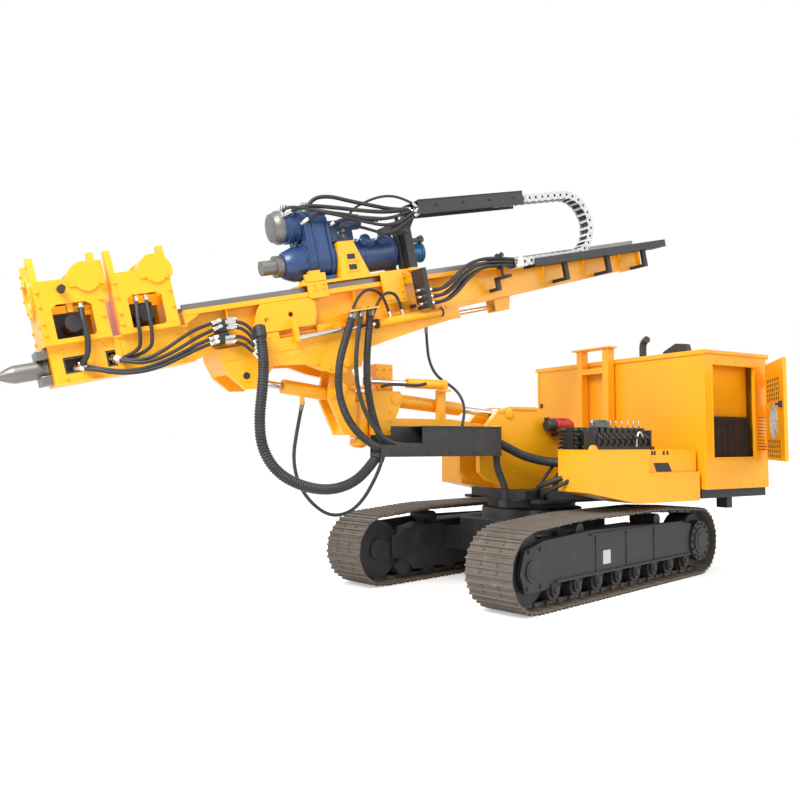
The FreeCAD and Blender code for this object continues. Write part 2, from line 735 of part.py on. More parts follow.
def parts():
    made = {
        "track_left": trackLoop(1),
        "track_right": trackLoop(-1),
        "track_frame_left": trackFrame(1),
        "track_frame_right": trackFrame(-1),
        "car_body": carBody(),
        "upper_frame": upperFrame(),
        "boom_bracket": boomBracket(),
        "panel_front": panelFront(),
        "panel_rear": panelRear(),
        "panel_right": sidePanel(-1),
        "panel_left": panelLeft(),
        "roof": roof(),
        "radiator": radiator(),
        "inner_panel": innerPanel(),
        "engine": engine(),
        "exhaust": exhaust(),
        "mast_rest": mastRest(),
        "console": console(),
        "console_rear": consoleRear(),
        "valve_bank": valveBank(),
        "pump_unit": pumpUnit(),
        "hose_manifold": hoseManifold(),
        "fuel_tank": fuelTank(),
        "side_door": sideDoor(),
        "boom_arm": boomArm(),
        "hose_trough": hoseTrough(),
        "trough_hoses": troughHoses(),
        "swing_head": swingHead(),
        "mast_cradle": mastCradle(),
        "feed_beam": feedBeam(),
        "feed_rails": feedRails(),
        "slide_rods": slideRods(),
        "hose_bulkhead": hoseBulkhead(),
        "front_box": frontBox(),
        "clamp_front": clampUnit(2800, 2350, 2440),
        "clamp_rear": clampUnit(2280, 1850, 1950),
        "jaw_left": jaw(1),
        "jaw_right": jaw(-1),
        "chain_tray": chainTray(),
        "drag_chain": dragChain(),
        "chain_cover": chainCover(),
        "carriage": carriage(),
        "rotary_head": rotaryHead(),
        "head_motors": headMotors(),
        "spindle": spindle(),
    }
    for name, (base, eye, turns, barrelSizes, rodSizes) in cylinders.items():
        made[name + "_barrel"] = cylinderBarrel(base, eye, turns, barrelSizes)
        made[name + "_rod"] = cylinderRod(base, eye, turns, rodSizes)
    tiltPort = rod(V(2500, 20, 1735), V(2500, 20, 1655), 20)
    made["tilt_barrel"] = fuse([made["tilt_barrel"], tiltPort])
    for name, (thickness, route) in hoses.items():
        made[name] = hoseTube(thickness, route)
    return made


os.makedirs("parts", exist_ok=True)
for name, shape in parts().items():
    shape.exportStep("parts/" + name + ".step")
    print(name, "valid" if shape.isValid() else "NOT VALID", len(shape.Solids), "solids",
          len(shape.Faces), "faces", round(shape.Volume / 1e9, 4), "m3")
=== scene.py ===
import bpy
import bmesh
import json
import math
from mathutils import Matrix, Vector


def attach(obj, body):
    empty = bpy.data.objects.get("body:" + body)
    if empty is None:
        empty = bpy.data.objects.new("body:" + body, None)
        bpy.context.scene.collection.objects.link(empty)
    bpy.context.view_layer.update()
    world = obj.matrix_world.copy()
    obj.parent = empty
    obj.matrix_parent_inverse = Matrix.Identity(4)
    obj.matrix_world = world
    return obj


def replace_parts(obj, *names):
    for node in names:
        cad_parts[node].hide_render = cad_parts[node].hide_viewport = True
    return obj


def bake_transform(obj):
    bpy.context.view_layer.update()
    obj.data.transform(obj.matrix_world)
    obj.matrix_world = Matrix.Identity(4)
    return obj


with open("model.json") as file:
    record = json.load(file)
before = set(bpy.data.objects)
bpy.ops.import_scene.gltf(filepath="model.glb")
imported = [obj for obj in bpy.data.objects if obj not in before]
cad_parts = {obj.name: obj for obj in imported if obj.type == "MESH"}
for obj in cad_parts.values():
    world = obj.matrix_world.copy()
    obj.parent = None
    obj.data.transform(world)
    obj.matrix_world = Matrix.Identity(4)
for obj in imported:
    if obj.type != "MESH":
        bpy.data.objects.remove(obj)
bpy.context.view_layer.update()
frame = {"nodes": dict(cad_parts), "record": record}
nodes = frame["nodes"]
print("frame loaded,", len(nodes), "nodes")

# The mast's, the tracks' and the open door's own frames, as in the solids
mastFrame = Matrix.Translation((1.7, 0, 2.3)) @ Matrix.Rotation(math.radians(13.3), 4, "Y")
trackFrame = Matrix.Rotation(math.radians(12.8), 4, "Z")
doorFrame = Matrix.Translation((-2.05, 1.212, 0)) @ Matrix.Rotation(math.radians(45), 4, "Z")


# Camera and light

view = {
    "place": (5.159, 6.039, 1.335),
    "turn": (93.13, 0, 149),      # degrees
    "lens": 35.1,
}


def makeCamera():
    data = bpy.data.cameras.new("camera")
    data.lens = view["lens"]
    data.sensor_width = 36
    camera = bpy.data.objects.new("camera", data)
    camera.location = view["place"]
    camera.rotation_euler = [math.radians(angle) for angle in view["turn"]]
    bpy.context.collection.objects.link(camera)
    bpy.context.scene.camera = camera


light = {
    "world": 0.70,
    "floor": (0.93, 0.93, 0.93),
    "floorGlow": 0.42,
    "lamps": [   # place, size, watts
        ((7.6, 3.6, 7.2), 4.0, 760),
        ((-5.0, 7.5, 6.0), 6.0, 210),
        ((0.5, -7.5, 6.5), 6.0, 260),
    ],
    "aim": (0.8, 0, 1.2),
}


def makeLight():
    for place, size, watts in light["lamps"]:
        data = bpy.data.lights.new("softbox", "AREA")
        data.shape = "DISK"
        data.size = size
        data.energy = watts
        lamp = bpy.data.objects.new("softbox", data)
        lamp.location = place
        aim = Vector(light["aim"]) - Vector(place)
        lamp.rotation_euler = aim.to_track_quat("-Z", "Y").to_euler()
        bpy.context.collection.objects.link(lamp)
    world = bpy.data.worlds.new("studio")
    bpy.context.scene.world = world
    world.use_nodes = True
    tree = world.node_tree
    back = tree.nodes["Background"]
    back.inputs["Color"].default_value = (1, 1, 1, 1)
    path = tree.nodes.new("ShaderNodeLightPath")
    seen = maths(tree, "MAXIMUM", path.outputs["Is Camera Ray"], path.outputs["Is Glossy Ray"])
    strength = mixNumber(tree, seen, light["world"], 1.0)
    tree.links.new(strength, back.inputs["Strength"])


def makeFloor():
    mesh = bpy.data.meshes.new("floor")
    work = bmesh.new()
    bmesh.ops.create_grid(work, x_segments=1, y_segments=1, size=60)
    work.to_mesh(mesh)
    work.free()
    floor = bpy.data.objects.new("floor", mesh)
    bpy.context.collection.objects.link(floor)
    material = bpy.data.materials.new("floorPale")
    material.use_nodes = True
    tree = material.node_tree
    shader = tree.nodes["Principled BSDF"]
    shader.inputs["Base Color"].default_value = (*light["floor"], 1)
    shader.inputs["Roughness"].default_value = 0.9
    shader.inputs["Emission Color"].default_value = (1, 1, 1, 1)
    path = tree.nodes.new("ShaderNodeLightPath")
    glow = maths(tree, "MULTIPLY", path.outputs["Is Camera Ray"], light["floorGlow"])
    tree.links.new(glow, shader.inputs["Emission Strength"])
    mesh.materials.append(material)


# Shader helpers

def srgb(red, green, blue):
    return tuple(channel / 12.92 / 255 if channel < 11 else ((channel / 255 + 0.055) / 1.055) ** 2.4
                 for channel in (red, green, blue)) + (1,)


def plug(tree, value, socket):
    if isinstance(value, bpy.types.NodeSocket):
        tree.links.new(value, socket)
    else:
        socket.default_value = value


def maths(tree, operation, a, b):
    node = tree.nodes.new("ShaderNodeMath")
    node.operation = operation
    plug(tree, a, node.inputs[0])
    plug(tree, b, node.inputs[1])
    return node.outputs[0]


def mixNumber(tree, factor, a, b):
    node = tree.nodes.new("ShaderNodeMix")
    plug(tree, factor, node.inputs[0])
    plug(tree, a, node.inputs[2])
    plug(tree, b, node.inputs[3])
    return node.outputs[0]


def mixColour(tree, factor, a, b, blend="MIX"):
    node = tree.nodes.new("ShaderNodeMix")
    node.data_type = "RGBA"
    node.blend_type = blend
    plug(tree, factor, node.inputs[0])
    plug(tree, a, node.inputs[6])
    plug(tree, b, node.inputs[7])
    return node.outputs[2]


def ramp(tree, value, low, high):
    node = tree.nodes.new("ShaderNodeMapRange")
    plug(tree, value, node.inputs["Value"])
    node.inputs["From Min"].default_value = low
    node.inputs["From Max"].default_value = high
    return node.outputs["Result"]


def noise(tree, place, scale, detail=3.0, rough=0.55):
    node = tree.nodes.new("ShaderNodeTexNoise")
    tree.links.new(place, node.inputs["Vector"])
    plug(tree, scale, node.inputs["Scale"])
    node.inputs["Detail"].default_value = detail
    node.inputs["Roughness"].default_value = rough
    return node.outputs["Fac"]


# Worn and dusty paint: colour, roughness and height from where dust lies and edges rub
def makeWear():
    group = bpy.data.node_groups.new("fieldWear", "ShaderNodeTree")
    sockets = [
        ("Paint", "INPUT", "NodeSocketColor"), ("Under", "INPUT", "NodeSocketColor"),
        ("Dust", "INPUT", "NodeSocketColor"), ("Dusty", "INPUT", "NodeSocketFloat"),
        ("Chipped", "INPUT", "NodeSocketFloat"), ("Grain", "INPUT", "NodeSocketFloat"),
        ("Gloss", "INPUT", "NodeSocketFloat"), ("Color", "OUTPUT", "NodeSocketColor"),
        ("Roughness", "OUTPUT", "NodeSocketFloat"), ("Height", "OUTPUT", "NodeSocketFloat"),
    ]
    for name, way, kind in sockets:
        group.interface.new_socket(name=name, in_out=way, socket_type=kind)
    given = group.nodes.new("NodeGroupInput").outputs
    result = group.nodes.new("NodeGroupOutput").inputs
    place = group.nodes.new("ShaderNodeTexCoord").outputs["Object"]
    surface = group.nodes.new("ShaderNodeNewGeometry").outputs
    broad = noise(group, place, 1.3, 3.0)
    patches = noise(group, place, 7.0, 6.0, 0.65)
    fine = noise(group, place, given["Grain"], 2.0)
    rubbed = ramp(group, patches, 0.60, 0.66)
    chips = maths(group, "MULTIPLY", maths(group, "MULTIPLY", rubbed, ramp(group, fine, 0.52, 0.60)),
                  given["Chipped"])
    upright = group.nodes.new("ShaderNodeSeparateXYZ")
    group.links.new(surface["Normal"], upright.inputs[0])
    flat = ramp(group, upright.outputs["Z"], 0.3, 1.0)
    speckle = ramp(group, maths(group, "ADD", patches, maths(group, "MULTIPLY", fine, 0.35)), 0.62, 1.0)
    lying = maths(group, "ADD", maths(group, "MULTIPLY", flat, 0.6), speckle)
    dust = maths(group, "MINIMUM", maths(group, "MULTIPLY", lying, given["Dusty"]), 0.9)
    tone = mixColour(group, ramp(group, broad, 0.3, 0.7), (0.93, 0.93, 0.93, 1), (1.03, 1.03, 1.03, 1))
    painted = mixColour(group, 1.0, given["Paint"], tone, "MULTIPLY")
    dusted = mixColour(group, dust, painted, given["Dust"])
    group.links.new(mixColour(group, chips, dusted, given["Under"]), result["Color"])
    rough = maths(group, "ADD", given["Gloss"], maths(group, "MULTIPLY", dust, 0.45))
    group.links.new(maths(group, "ADD", rough, maths(group, "MULTIPLY", chips, 0.2)), result["Roughness"])
    height = maths(group, "ADD", maths(group, "MULTIPLY", fine, 0.5), maths(group, "MULTIPLY", patches, 0.5))
    group.links.new(maths(group, "SUBTRACT", height, chips), result["Height"])


def makeFinish(name, values):
    material = bpy.data.materials.new(name)
    material.use_nodes = True
    tree = material.node_tree
    shader = tree.nodes["Principled BSDF"]
    wear = tree.nodes.new("ShaderNodeGroup")
    wear.node_tree = bpy.data.node_groups["fieldWear"]
    for socket in ("Paint", "Under", "Dust", "Dusty", "Chipped", "Grain", "Gloss"):
        wear.inputs[socket].default_value = values[socket]
    tree.links.new(wear.outputs["Color"], shader.inputs["Base Color"])
    tree.links.new(wear.outputs["Roughness"], shader.inputs["Roughness"])
    bump = tree.nodes.new("ShaderNodeBump")
    bump.inputs["Strength"].default_value = values["bump"]
    bump.inputs["Distance"].default_value = 0.001
    tree.links.new(wear.outputs["Height"], bump.inputs["Height"])
    tree.links.new(bump.outputs["Normal"], shader.inputs["Normal"])
    shader.inputs["Metallic"].default_value = values["metallic"]
    shader.inputs["Coat Weight"].default_value = values["coat"]
    shader.inputs["Coat Roughness"].default_value = 0.2
    return material


def finish(paint, under, dust, dusty, chipped, grain, gloss, bump=0.10, metallic=0.0, coat=0.0):
    return {"Paint": srgb(*paint), "Under": srgb(*under), "Dust": srgb(*dust), "Dusty": dusty,
            "Chipped": chipped,
            "Grain": grain, "Gloss": gloss, "bump": bump, "metallic": metallic, "coat": coat}


finishes = {
    "yellow_paint": finish((255, 178, 18), (150, 96, 30), (236, 190, 96), 0.05, 0.10, 90, 0.36, coat=0.2),
    "dark_paint": finish((42, 42, 44), (96, 92, 88), (98, 92, 86), 0.25, 0.3, 110, 0.50),
    "blue_paint": finish((34, 62, 108), (90, 92, 96), (86, 104, 140), 0.14, 0.4, 90, 0.34, coat=0.2),
    "teal_paint": finish((20, 108, 158), (90, 92, 96), (90, 128, 150), 0.14, 0.4, 90, 0.34, coat=0.2),
    "worn_steel": finish((112, 104, 96), (176, 168, 158), (142, 132, 118), 0.40, 0.8, 130, 0.52, 0.35, 0.35),
    "bright_rod": finish((226, 224, 220), (120, 120, 120), (150, 146, 140), 0.03, 0.0, 60, 0.14, 0.02, 1.0),
    "grey_steel": finish((128, 126, 122), (180, 178, 172), (120, 112, 100), 0.16, 0.6, 120, 0.38, 0.25, 0.7),
    "black_plastic": finish((32, 32, 34), (80, 80, 80), (96, 92, 88), 0.12, 0.1, 120, 0.45),
    "grey_plastic": finish((206, 208, 208), (170, 170, 170), (176, 172, 166), 0.12, 0.1, 120, 0.5),
    "black_rubber": finish((38, 38, 41), (60, 60, 60), (104, 100, 98), 0.20, 0.0, 160, 0.50, 0.2),
    "zinc": finish((208, 209, 208), (150, 150, 150), (170, 166, 158), 0.15, 0.4, 140, 0.35, 0.2, 0.4),
    "olive_paint": finish((86, 96, 84), (70, 70, 66), (120, 118, 104), 0.2, 0.3, 100, 0.45),
    "red_plastic": finish((196, 34, 30), (120, 30, 28), (170, 90, 80), 0.08, 0.1, 100, 0.40),
}
made = {}


# Mesh helpers

def addBox(work, low, high):
    centre = [(a + b) / 2 for a, b in zip(low, high)]
    size = [b - a for a, b in zip(low, high)]
    for vertex in bmesh.ops.create_cube(work, size=1)["verts"]:
        vertex.co = [middle + value * width for middle, value, width in zip(centre, vertex.co, size)]


def addRod(work, start, end, radius, sides=24, endRadius=None):
    start, end = Vector(start), Vector(end)
    axis = end - start
    place = Matrix.Translation((start + end) / 2) @ axis.to_track_quat("Z", "Y").to_matrix().to_4x4()
    bmesh.ops.create_cone(work, cap_ends=True, segments=sides, radius1=radius, matrix=place,
                          radius2=radius if endRadius is None else endRadius, depth=axis.length)


# How an outline's points lie at low, and the push from there to high
def acrossAxis(low, high, normal):
    axis = "xyz".index(normal)
    push = [0, 0, 0]
    push[axis] = high - low
    return lambda a, b: (a, b)[:axis] + (low,) + (a, b)[axis:], push


def pushOut(work, raised, push):
    moved = [item for item in raised if isinstance(item, bmesh.types.BMVert)]
    bmesh.ops.translate(work, vec=push, verts=moved)


def addPlate(work, outline, low, high, normal="y"):
    lay, push = acrossAxis(low, high, normal)
    face = work.faces.new([work.verts.new(lay(a, b)) for a, b in outline])
    pushOut(work, bmesh.ops.extrude_face_region(work, geom=[face])["geom"], push)


def addBolt(work, place, way, radius=0.012):
    place, way = Vector(place), Vector(way).normalized()
    addRod(work, place, place + way * radius * 0.3, radius * 1.35, 12)
    addRod(work, place + way * radius * 0.3, place + way * radius * 1.1, radius, 6)


def addMesh(work, part):
    mesh = bpy.data.meshes.new("part")
    part.to_mesh(mesh)
    part.free()
    work.from_mesh(mesh)
    bpy.data.meshes.remove(mesh)


# A profile of (along, radius) points spun round a line
def addTurned(work, start, way, profile, sides=32):
    turned = bmesh.new()
    line = [turned.verts.new((radius, 0, along)) for along, radius in profile]
    edges = [turned.edges.new(pair) for pair in zip(line, line[1:])]
    bmesh.ops.spin(turned, geom=line + edges, cent=(0, 0, 0), axis=(0, 0, 1), angle=2 * math.pi, steps=sides,
                   use_merge=True)
    bmesh.ops.remove_doubles(turned, verts=turned.verts, dist=0.00001)
    turned.transform(Matrix.Translation(start) @ Vector(way).to_track_quat("Z", "Y").to_matrix().to_4x4())
    addMesh(work, turned)


def arc(centre, radius, start, end, steps):
    turns = [math.radians(start + (end - start) * number / steps) for number in range(steps + 1)]
    return [(centre[0] + radius * math.cos(turn), centre[1] + radius * math.sin(turn)) for turn in turns]


# A plate with holes: its outline and the holes' outlines filled, then pushed from low to high
def addHoledPlate(work, outline, holes, low, high, normal="y"):
    part = bmesh.new()
    lay, push = acrossAxis(low, high, normal)
    for loop in [outline] + holes:
        corners = [part.verts.new(lay(a, b)) for a, b in loop]
        for pair in zip(corners, corners[1:] + corners[:1]):
            part.edges.new(pair)
    bmesh.ops.triangle_fill(part, use_beauty=True, edges=part.edges)
    bmesh.ops.recalc_face_normals(part, faces=part.faces)
    raised = bmesh.ops.extrude_face_region(part, geom=part.faces[:], use_keep_orig=True)["geom"]
    pushOut(part, raised, push)
    addMesh(work, part)


def rectangle(a0, a1, b0, b1):
    return [(a0, b0), (a1, b0), (a1, b1), (a0, b1)]


def addBolts(work, places, way, radius=0.012):
    for place in places:
        addBolt(work, place, way, radius)


# Bolts on a circle that faces along x
def addBoltRing(work, along, middle, reach, turns, way, radius):
    for turn in turns:
        addBolt(work, (along, reach * math.cos(turn), middle + reach * math.sin(turn)), way, radius)


# A pin's cap: a wide disc that steps in to a narrow one
def addPinCap(work, place, way, wide, narrow, top, sides, rise=.010):
    addTurned(work, place, way, [
        (0, 0), (0, wide), (rise, wide), (rise + .004, narrow), (top, narrow), (top, 0),
    ], sides)


def soften(piece, width):
    rounding = piece.modifiers.new("softEdge", "BEVEL")
    rounding.width = width
    rounding.segments = 2
    rounding.limit_method = "ANGLE"
    rounding.angle_limit = math.radians(40)


def keepPiece(name, work, body, slotName, within=None, bevel=0.0, material=None):
    bmesh.ops.recalc_face_normals(work, faces=work.faces)
    if within:
        bmesh.ops.transform(work, matrix=within, verts=work.verts)
    mesh = bpy.data.meshes.new(name)
    work.to_mesh(mesh)
    work.free()
    mesh.shade_smooth()
    mesh.set_sharp_from_angle(angle=math.radians(35))
    mesh.materials.append(made[material or slotName])
    piece = bpy.data.objects.new(name, mesh)
    bpy.context.collection.objects.link(piece)
    if bevel:
        soften(piece, bevel)
    if body:
        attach(piece, body)
    return piece


def dressNodes():
    for row in frame["record"]["subparts"]:
        node = nodes[row["node"]]
        if node.data is None:
            continue
        node.data.materials.clear()
        node.data.materials.append(made[row["material_slot"]])
        weld = node.modifiers.new("seams", "WELD")
        weld.merge_threshold = 0.00005
        soften(node, 0.003)


# Hoses: the line through a route's points, and the tube along it

def splineThrough(points):
    data = bpy.data.curves.new("route", "CURVE")
    data.dimensions = "3D"
    data.resolution_u = 16
    spline = data.splines.new("NURBS")
    spline.points.add(len(points) - 1)
    for slotPoint, point in zip(spline.points, points):
        slotPoint.co = (*point, 1)
    spline.order_u = 3
    spline.use_endpoint_u = True
    curve = bpy.data.objects.new("route", data)
    bpy.context.collection.objects.link(curve)
    line = bpy.data.meshes.new_from_object(curve)
    path = [vertex.co.copy() for vertex in line.vertices]
    bpy.data.objects.remove(curve)
    return path


def evenSteps(path, step):
    lengths = [(b - a).length for a, b in zip(path, path[1:])]
    whole = sum(lengths)
    count = max(2, round(whole / step))
    stops, walked, leg = [], 0.0, 0
    for number in range(count + 1):
        goal = whole * number / count
        while leg < len(lengths) - 1 and walked + lengths[leg] < goal:
            walked += lengths[leg]
            leg += 1
        way = path[leg + 1] - path[leg]
        stops.append((path[leg] + way * ((goal - walked) / lengths[leg]), way.normalized()))
    return stops, whole


def tubeMesh(work, stops, radii, sides):
    side = stops[0][1].orthogonal()
    rings = []
    for (place, way), radius in zip(stops, radii):
        side = (side - way * side.dot(way)).normalized()
        other = way.cross(side)
        turns = [2 * math.pi * number / sides for number in range(sides)]
        spokes = [side * math.cos(turn) + other * math.sin(turn) for turn in turns]
        rings.append([work.verts.new(place + spoke * radius) for spoke in spokes])
    for ring, following in zip(rings, rings[1:]):
        for number in range(sides):
            after = (number + 1) % sides
            work.faces.new((ring[number], ring[after], following[after], following[number]))
    work.faces.new(rings[0])
    work.faces.new(rings[-1])


def addTube(work, route, radius, step, sides):
    stops, _ = evenSteps(splineThrough(route), step)
    tubeMesh(work, stops, [radius] * len(stops), sides)


ribDepth = 0.87       # a corrugated hose's grooves against its outer radius


def hosePiece(name, points, thick, ribs, body=None, within=None):
    path = splineThrough(points)
    stops, whole = evenSteps(path, ribs / 4 if ribs else 0.02)
    wave = (1, 1, ribDepth, ribDepth) if ribs else (1,)
    radii = [thick / 2 * wave[number % len(wave)] for number in range(len(stops))]
    work = bmesh.new()
    tubeMesh(work, stops, radii, 20 if thick > 0.03 else 12)
    if within:
        path = [within @ point for point in path]
    piece = keepPiece(name, work, body, "black_rubber", within)
    return piece


def midway(a, b):
    return tuple((p + q) / 2 for p, q in zip(a, b))


# Loose hoses across the joints: thickness, rib pitch, the leg where the upper length ends,
# the bodies at the upper length's two ends, those at the lower length's, and the route
looseHoses = {
    "hose_mast": (0.086, 0.023, 5, ("cradle", "head"), ("head", "boom"), [
        (2.990, 0.300, 2.230), (2.965, 0.345, 2.010), (2.990, 0.390, 1.770), (3.030, 0.420, 1.520),
        (3.010, 0.430, 1.290), (2.890, 0.430, 1.110), (2.700, 0.425, 1.005), (2.470, 0.405, 0.955),
        (2.250, 0.380, 0.985), (2.070, 0.355, 1.090), (1.945, 0.335, 1.235),
    ]),
    "hose_tilt": (0.030, 0, 5, ("tilt_cylinder", "head"), ("head", "boom"), [
        (2.501, 0.020, 1.650), (2.555, 0.040, 1.430), (2.610, 0.090, 1.200), (2.590, 0.165, 0.990),
        (2.490, 0.225, 0.830), (2.350, 0.270, 0.735), (2.190, 0.300, 0.760), (2.080, 0.335, 0.870),
        (2.005, 0.372, 1.020), (1.960, 0.400, 1.140), (1.935, 0.402, 1.225),
    ]),
    "hose_head_near": (0.066, 0.019, 3, ("cradle", "head"), ("head", "boom"), [
        (2.188, 0.334, 2.394), (2.270, 0.375, 2.200), (2.355, 0.415, 1.975), (2.365, 0.425, 1.750),
        (2.290, 0.405, 1.555), (2.160, 0.385, 1.405), (2.010, 0.375, 1.310), (1.880, 0.370, 1.265),
        (1.770, 0.370, 1.262),
    ]),
    "hose_head_thin": (0.038, 0.013, 3, ("cradle", "head"), ("head", "boom"), [
        (2.111, 0.347, 2.421), (2.180, 0.395, 2.180), (2.205, 0.420, 1.940), (2.175, 0.425, 1.715),
        (2.070, 0.405, 1.510), (1.950, 0.397, 1.395), (1.850, 0.397, 1.330), (1.765, 0.397, 1.314),
    ]),
    "hose_head_far": (0.064, 0.019, 3, ("cradle", "head"), ("head", "boom"), [
        (2.002, 0.302, 2.443), (2.035, 0.325, 2.240), (2.065, 0.350, 2.020), (2.060, 0.350, 1.800),
        (2.000, 0.325, 1.590), (1.935, 0.305, 1.440), (1.870, 0.290, 1.330), (1.770, 0.284, 1.266),
    ]),
    "hose_cradle": (0.026, 0, 4, ("cradle", "head"), ("head", "boom"), [
        (1.346, 0.150, 2.375), (1.330, 0.140, 2.230), (1.290, 0.110, 2.080), (1.200, 0.085, 1.955),
        (1.090, 0.090, 1.890), (1.015, 0.130, 1.830), (0.985, 0.190, 1.750), (1.000, 0.255, 1.660),
        (1.040, 0.305, 1.565), (1.077, 0.328, 1.486),
    ]),
}
# Hoses between the boom and the upper works: thickness, rib pitch, bodies at their two ends
rootHoses = {
    "hose_console": (0.084, 0, ("boom", "upper"), [
        (0.712, 0.345, 1.345), (0.575, 0.345, 1.290), (0.420, 0.365, 1.215), (0.250, 0.440, 1.165),
        (0.130, 0.560, 1.145), (0.062, 0.670, 1.158), (0.062, 0.7748, 1.158),
    ]),
    "hose_ring_rear": (0.056, 0.017, None, [
        (0.060, 0.772, 1.095), (0.075, 0.670, 1.098), (0.095, 0.580, 1.080), (0.112, 0.510, 1.025),
        (0.118, 0.480, 0.950), (0.118, 0.475, 0.892),
    ]),
    "hose_ring_front": (0.068, 0.019, ("boom", "upper"), [
        (0.705, 0.345, 1.217), (0.705, 0.345, 1.130), (0.672, 0.351, 1.040), (0.635, 0.356, 0.962),
        (0.613, 0.358, 0.886), (0.613, 0.358, 0.8063),
    ]),
}


def makeLooseHoses():
    for name, (thick, ribs, leg, top, bottom, points) in looseHoses.items():
        middle = midway(points[leg], points[leg + 1])
        upper = hosePiece(name + "_upper", points[:leg + 1] + [middle], thick, ribs)
        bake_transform(upper)
        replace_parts(upper, name)
        lower = hosePiece(name + "_lower", [middle] + points[leg + 1:], thick, ribs)
        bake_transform(lower)
    for name, (thick, ribs, ends, points) in rootHoses.items():
        piece = hosePiece(name + "_dressed", points, thick, ribs, None if ends else "upper")
        if ends:
            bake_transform(piece)
        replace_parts(piece, name)


# Small hoses, in the mast's own frame: thickness, bodies (one, or the two it is stretched between), route
smallHoses = {
    "feed_hose_1": (0.028, ("feed",), [
        (1.580, .262, .329), (1.752, .285, .303), (1.899, .300, .242), (2.040, .300, .176),
        (2.160, .280, .140),
        (2.263, .235, .148), (2.345, .165, .200),
    ]),
    "feed_hose_2": (0.028, ("feed",), [
        (1.580, .262, .284), (1.766, .285, .237), (1.926, .310, .170), (2.068, .310, .128),
        (2.190, .290, .115),
        (2.280, .240, .143), (2.360, .165, .186),
    ]),
    "feed_hose_3": (0.028, ("feed",), [
        (1.630, .266, .213), (1.755, .290, .189), (1.910, .310, .138), (2.079, .320, .092),
        (2.240, .310, .071),
        (2.383, .280, .093), (2.497, .240, .139), (2.590, .165, .176),
    ]),
    "feed_hose_4": (0.028, ("feed",), [
        (1.630, .266, .176), (1.771, .290, .153), (1.935, .320, .104), (2.110, .330, .060),
        (2.274, .320, .055),
        (2.419, .280, .086), (2.524, .240, .137), (2.610, .165, .162),
    ]),
    "clamp_hose_1": (0.040, ("feed",), [
        (2.610, .150, .176), (2.560, .232, .205), (2.528, .258, .300), (2.519, .256, .421),
        (2.525, .240, .520),
        (2.505, .188, .615),
    ]),
    "clamp_hose_2": (0.028, ("feed",), [
        (2.340, .150, .178), (2.190, .228, .200), (2.163, .256, .300), (2.158, .254, .416),
        (2.120, .190, .612),
    ]),
    "clamp_hose_3": (0.028, ("feed",), [
        (2.320, .150, .160), (2.110, .236, .190), (2.080, .268, .300), (2.072, .260, .420),
        (2.050, .190, .612),
    ]),
    "sleeve_hose_1": (0.028, ("feed", "cradle"), [
        (1.489, .262, .311), (1.422, .275, .303), (1.360, .285, .265), (1.321, .295, .195),
        (1.308, .300, .100),
    ]),
    "sleeve_hose_2": (0.028, ("feed", "cradle"), [
        (1.489, .262, .266), (1.437, .270, .263), (1.383, .280, .230), (1.342, .290, .167),
        (1.322, .305, .090),
    ]),
    "sleeve_hose_3": (0.028, ("feed", "cradle"), [
        (1.516, .266, .198), (1.454, .275, .195), (1.398, .285, .169), (1.350, .295, .113),
        (1.318, .300, .040),
    ]),
    "sleeve_hose_4": (0.026, ("feed", "cradle"), [
        (1.524, .266, .161), (1.471, .270, .151), (1.422, .280, .126), (1.375, .292, .072),
        (1.330, .296, .010),
    ]),
    "beam_arc_far": (0.026, ("cradle",), [
        (.049, .245, .136), (.055, .250, .240), (.115, .270, .365), (.245, .290, .405), (.365, .310, .340),
        (.455, .330, .230), (.520, .350, .130), (.556, .362, .062),
    ]),
    "beam_arc_near": (0.026, ("cradle",), [
        (-.083, .245, .136), (-.080, .250, .235), (-.035, .270, .325), (.055, .285, .350), (.145, .300, .305),
        (.225, .315, .215), (.285, .322, .130), (.322, .318, .056),
    ]),
    "head_hose_1": (0.034, ("carriage",), [
        (.560, .090, 1.150), (.500, .105, 1.235), (.360, .150, 1.240), (.198, .215, 1.165),
        (.004, .270, 1.095),
        (-.190, .275, 1.045), (-.370, .270, 1.035),
    ]),
    "head_hose_2": (0.034, ("carriage",), [
        (.766, .130, 1.122), (.646, .170, 1.175), (.411, .235, 1.126), (.147, .290, 1.060),
        (-.120, .300, 1.020),
        (-.370, .304, 1.030),
    ]),
    "head_hose_3": (0.030, ("carriage",), [
        (.640, .165, 1.034), (.520, .220, 1.100), (.298, .270, 1.048), (.091, .310, .975),
        (-.110, .325, .965),
        (-.250, .335, .995), (-.370, .338, 1.012),
    ]),
    "head_hose_4": (0.026, ("carriage",), [
        (.375, .112, 1.000), (.300, .190, 1.030), (.120, .270, .974), (-.001, .300, .918),
        (-.130, .320, .915),
        (-.255, .330, .955), (-.370, .335, .978),
    ]),
    "head_hose_5": (0.026, ("carriage",), [
        (.300, .112, .930), (.200, .200, .964), (.067, .270, .890), (-.030, .305, .840), (-.140, .340, .860),
        (-.260, .365, .930), (-.370, .370, .975),
    ]),
    "head_hose_6": (0.022, ("carriage",), [
        (.200, .095, 1.030), (.150, .130, 1.110), (.040, .200, 1.150), (-.080, .250, 1.175),
        (-.200, .300, 1.160),
        (-.300, .350, 1.095), (-.370, .372, 1.040),
    ]),
    "head_hose_7": (0.024, ("carriage",), [
        (.800, .125, 1.105), (.815, .170, 1.150), (.740, .210, 1.165), (.560, .240, 1.110),
        (.300, .280, 1.020),
        (.060, .310, .930), (-.140, .345, .900), (-.260, .368, .960), (-.370, .385, 1.010),
    ]),
}
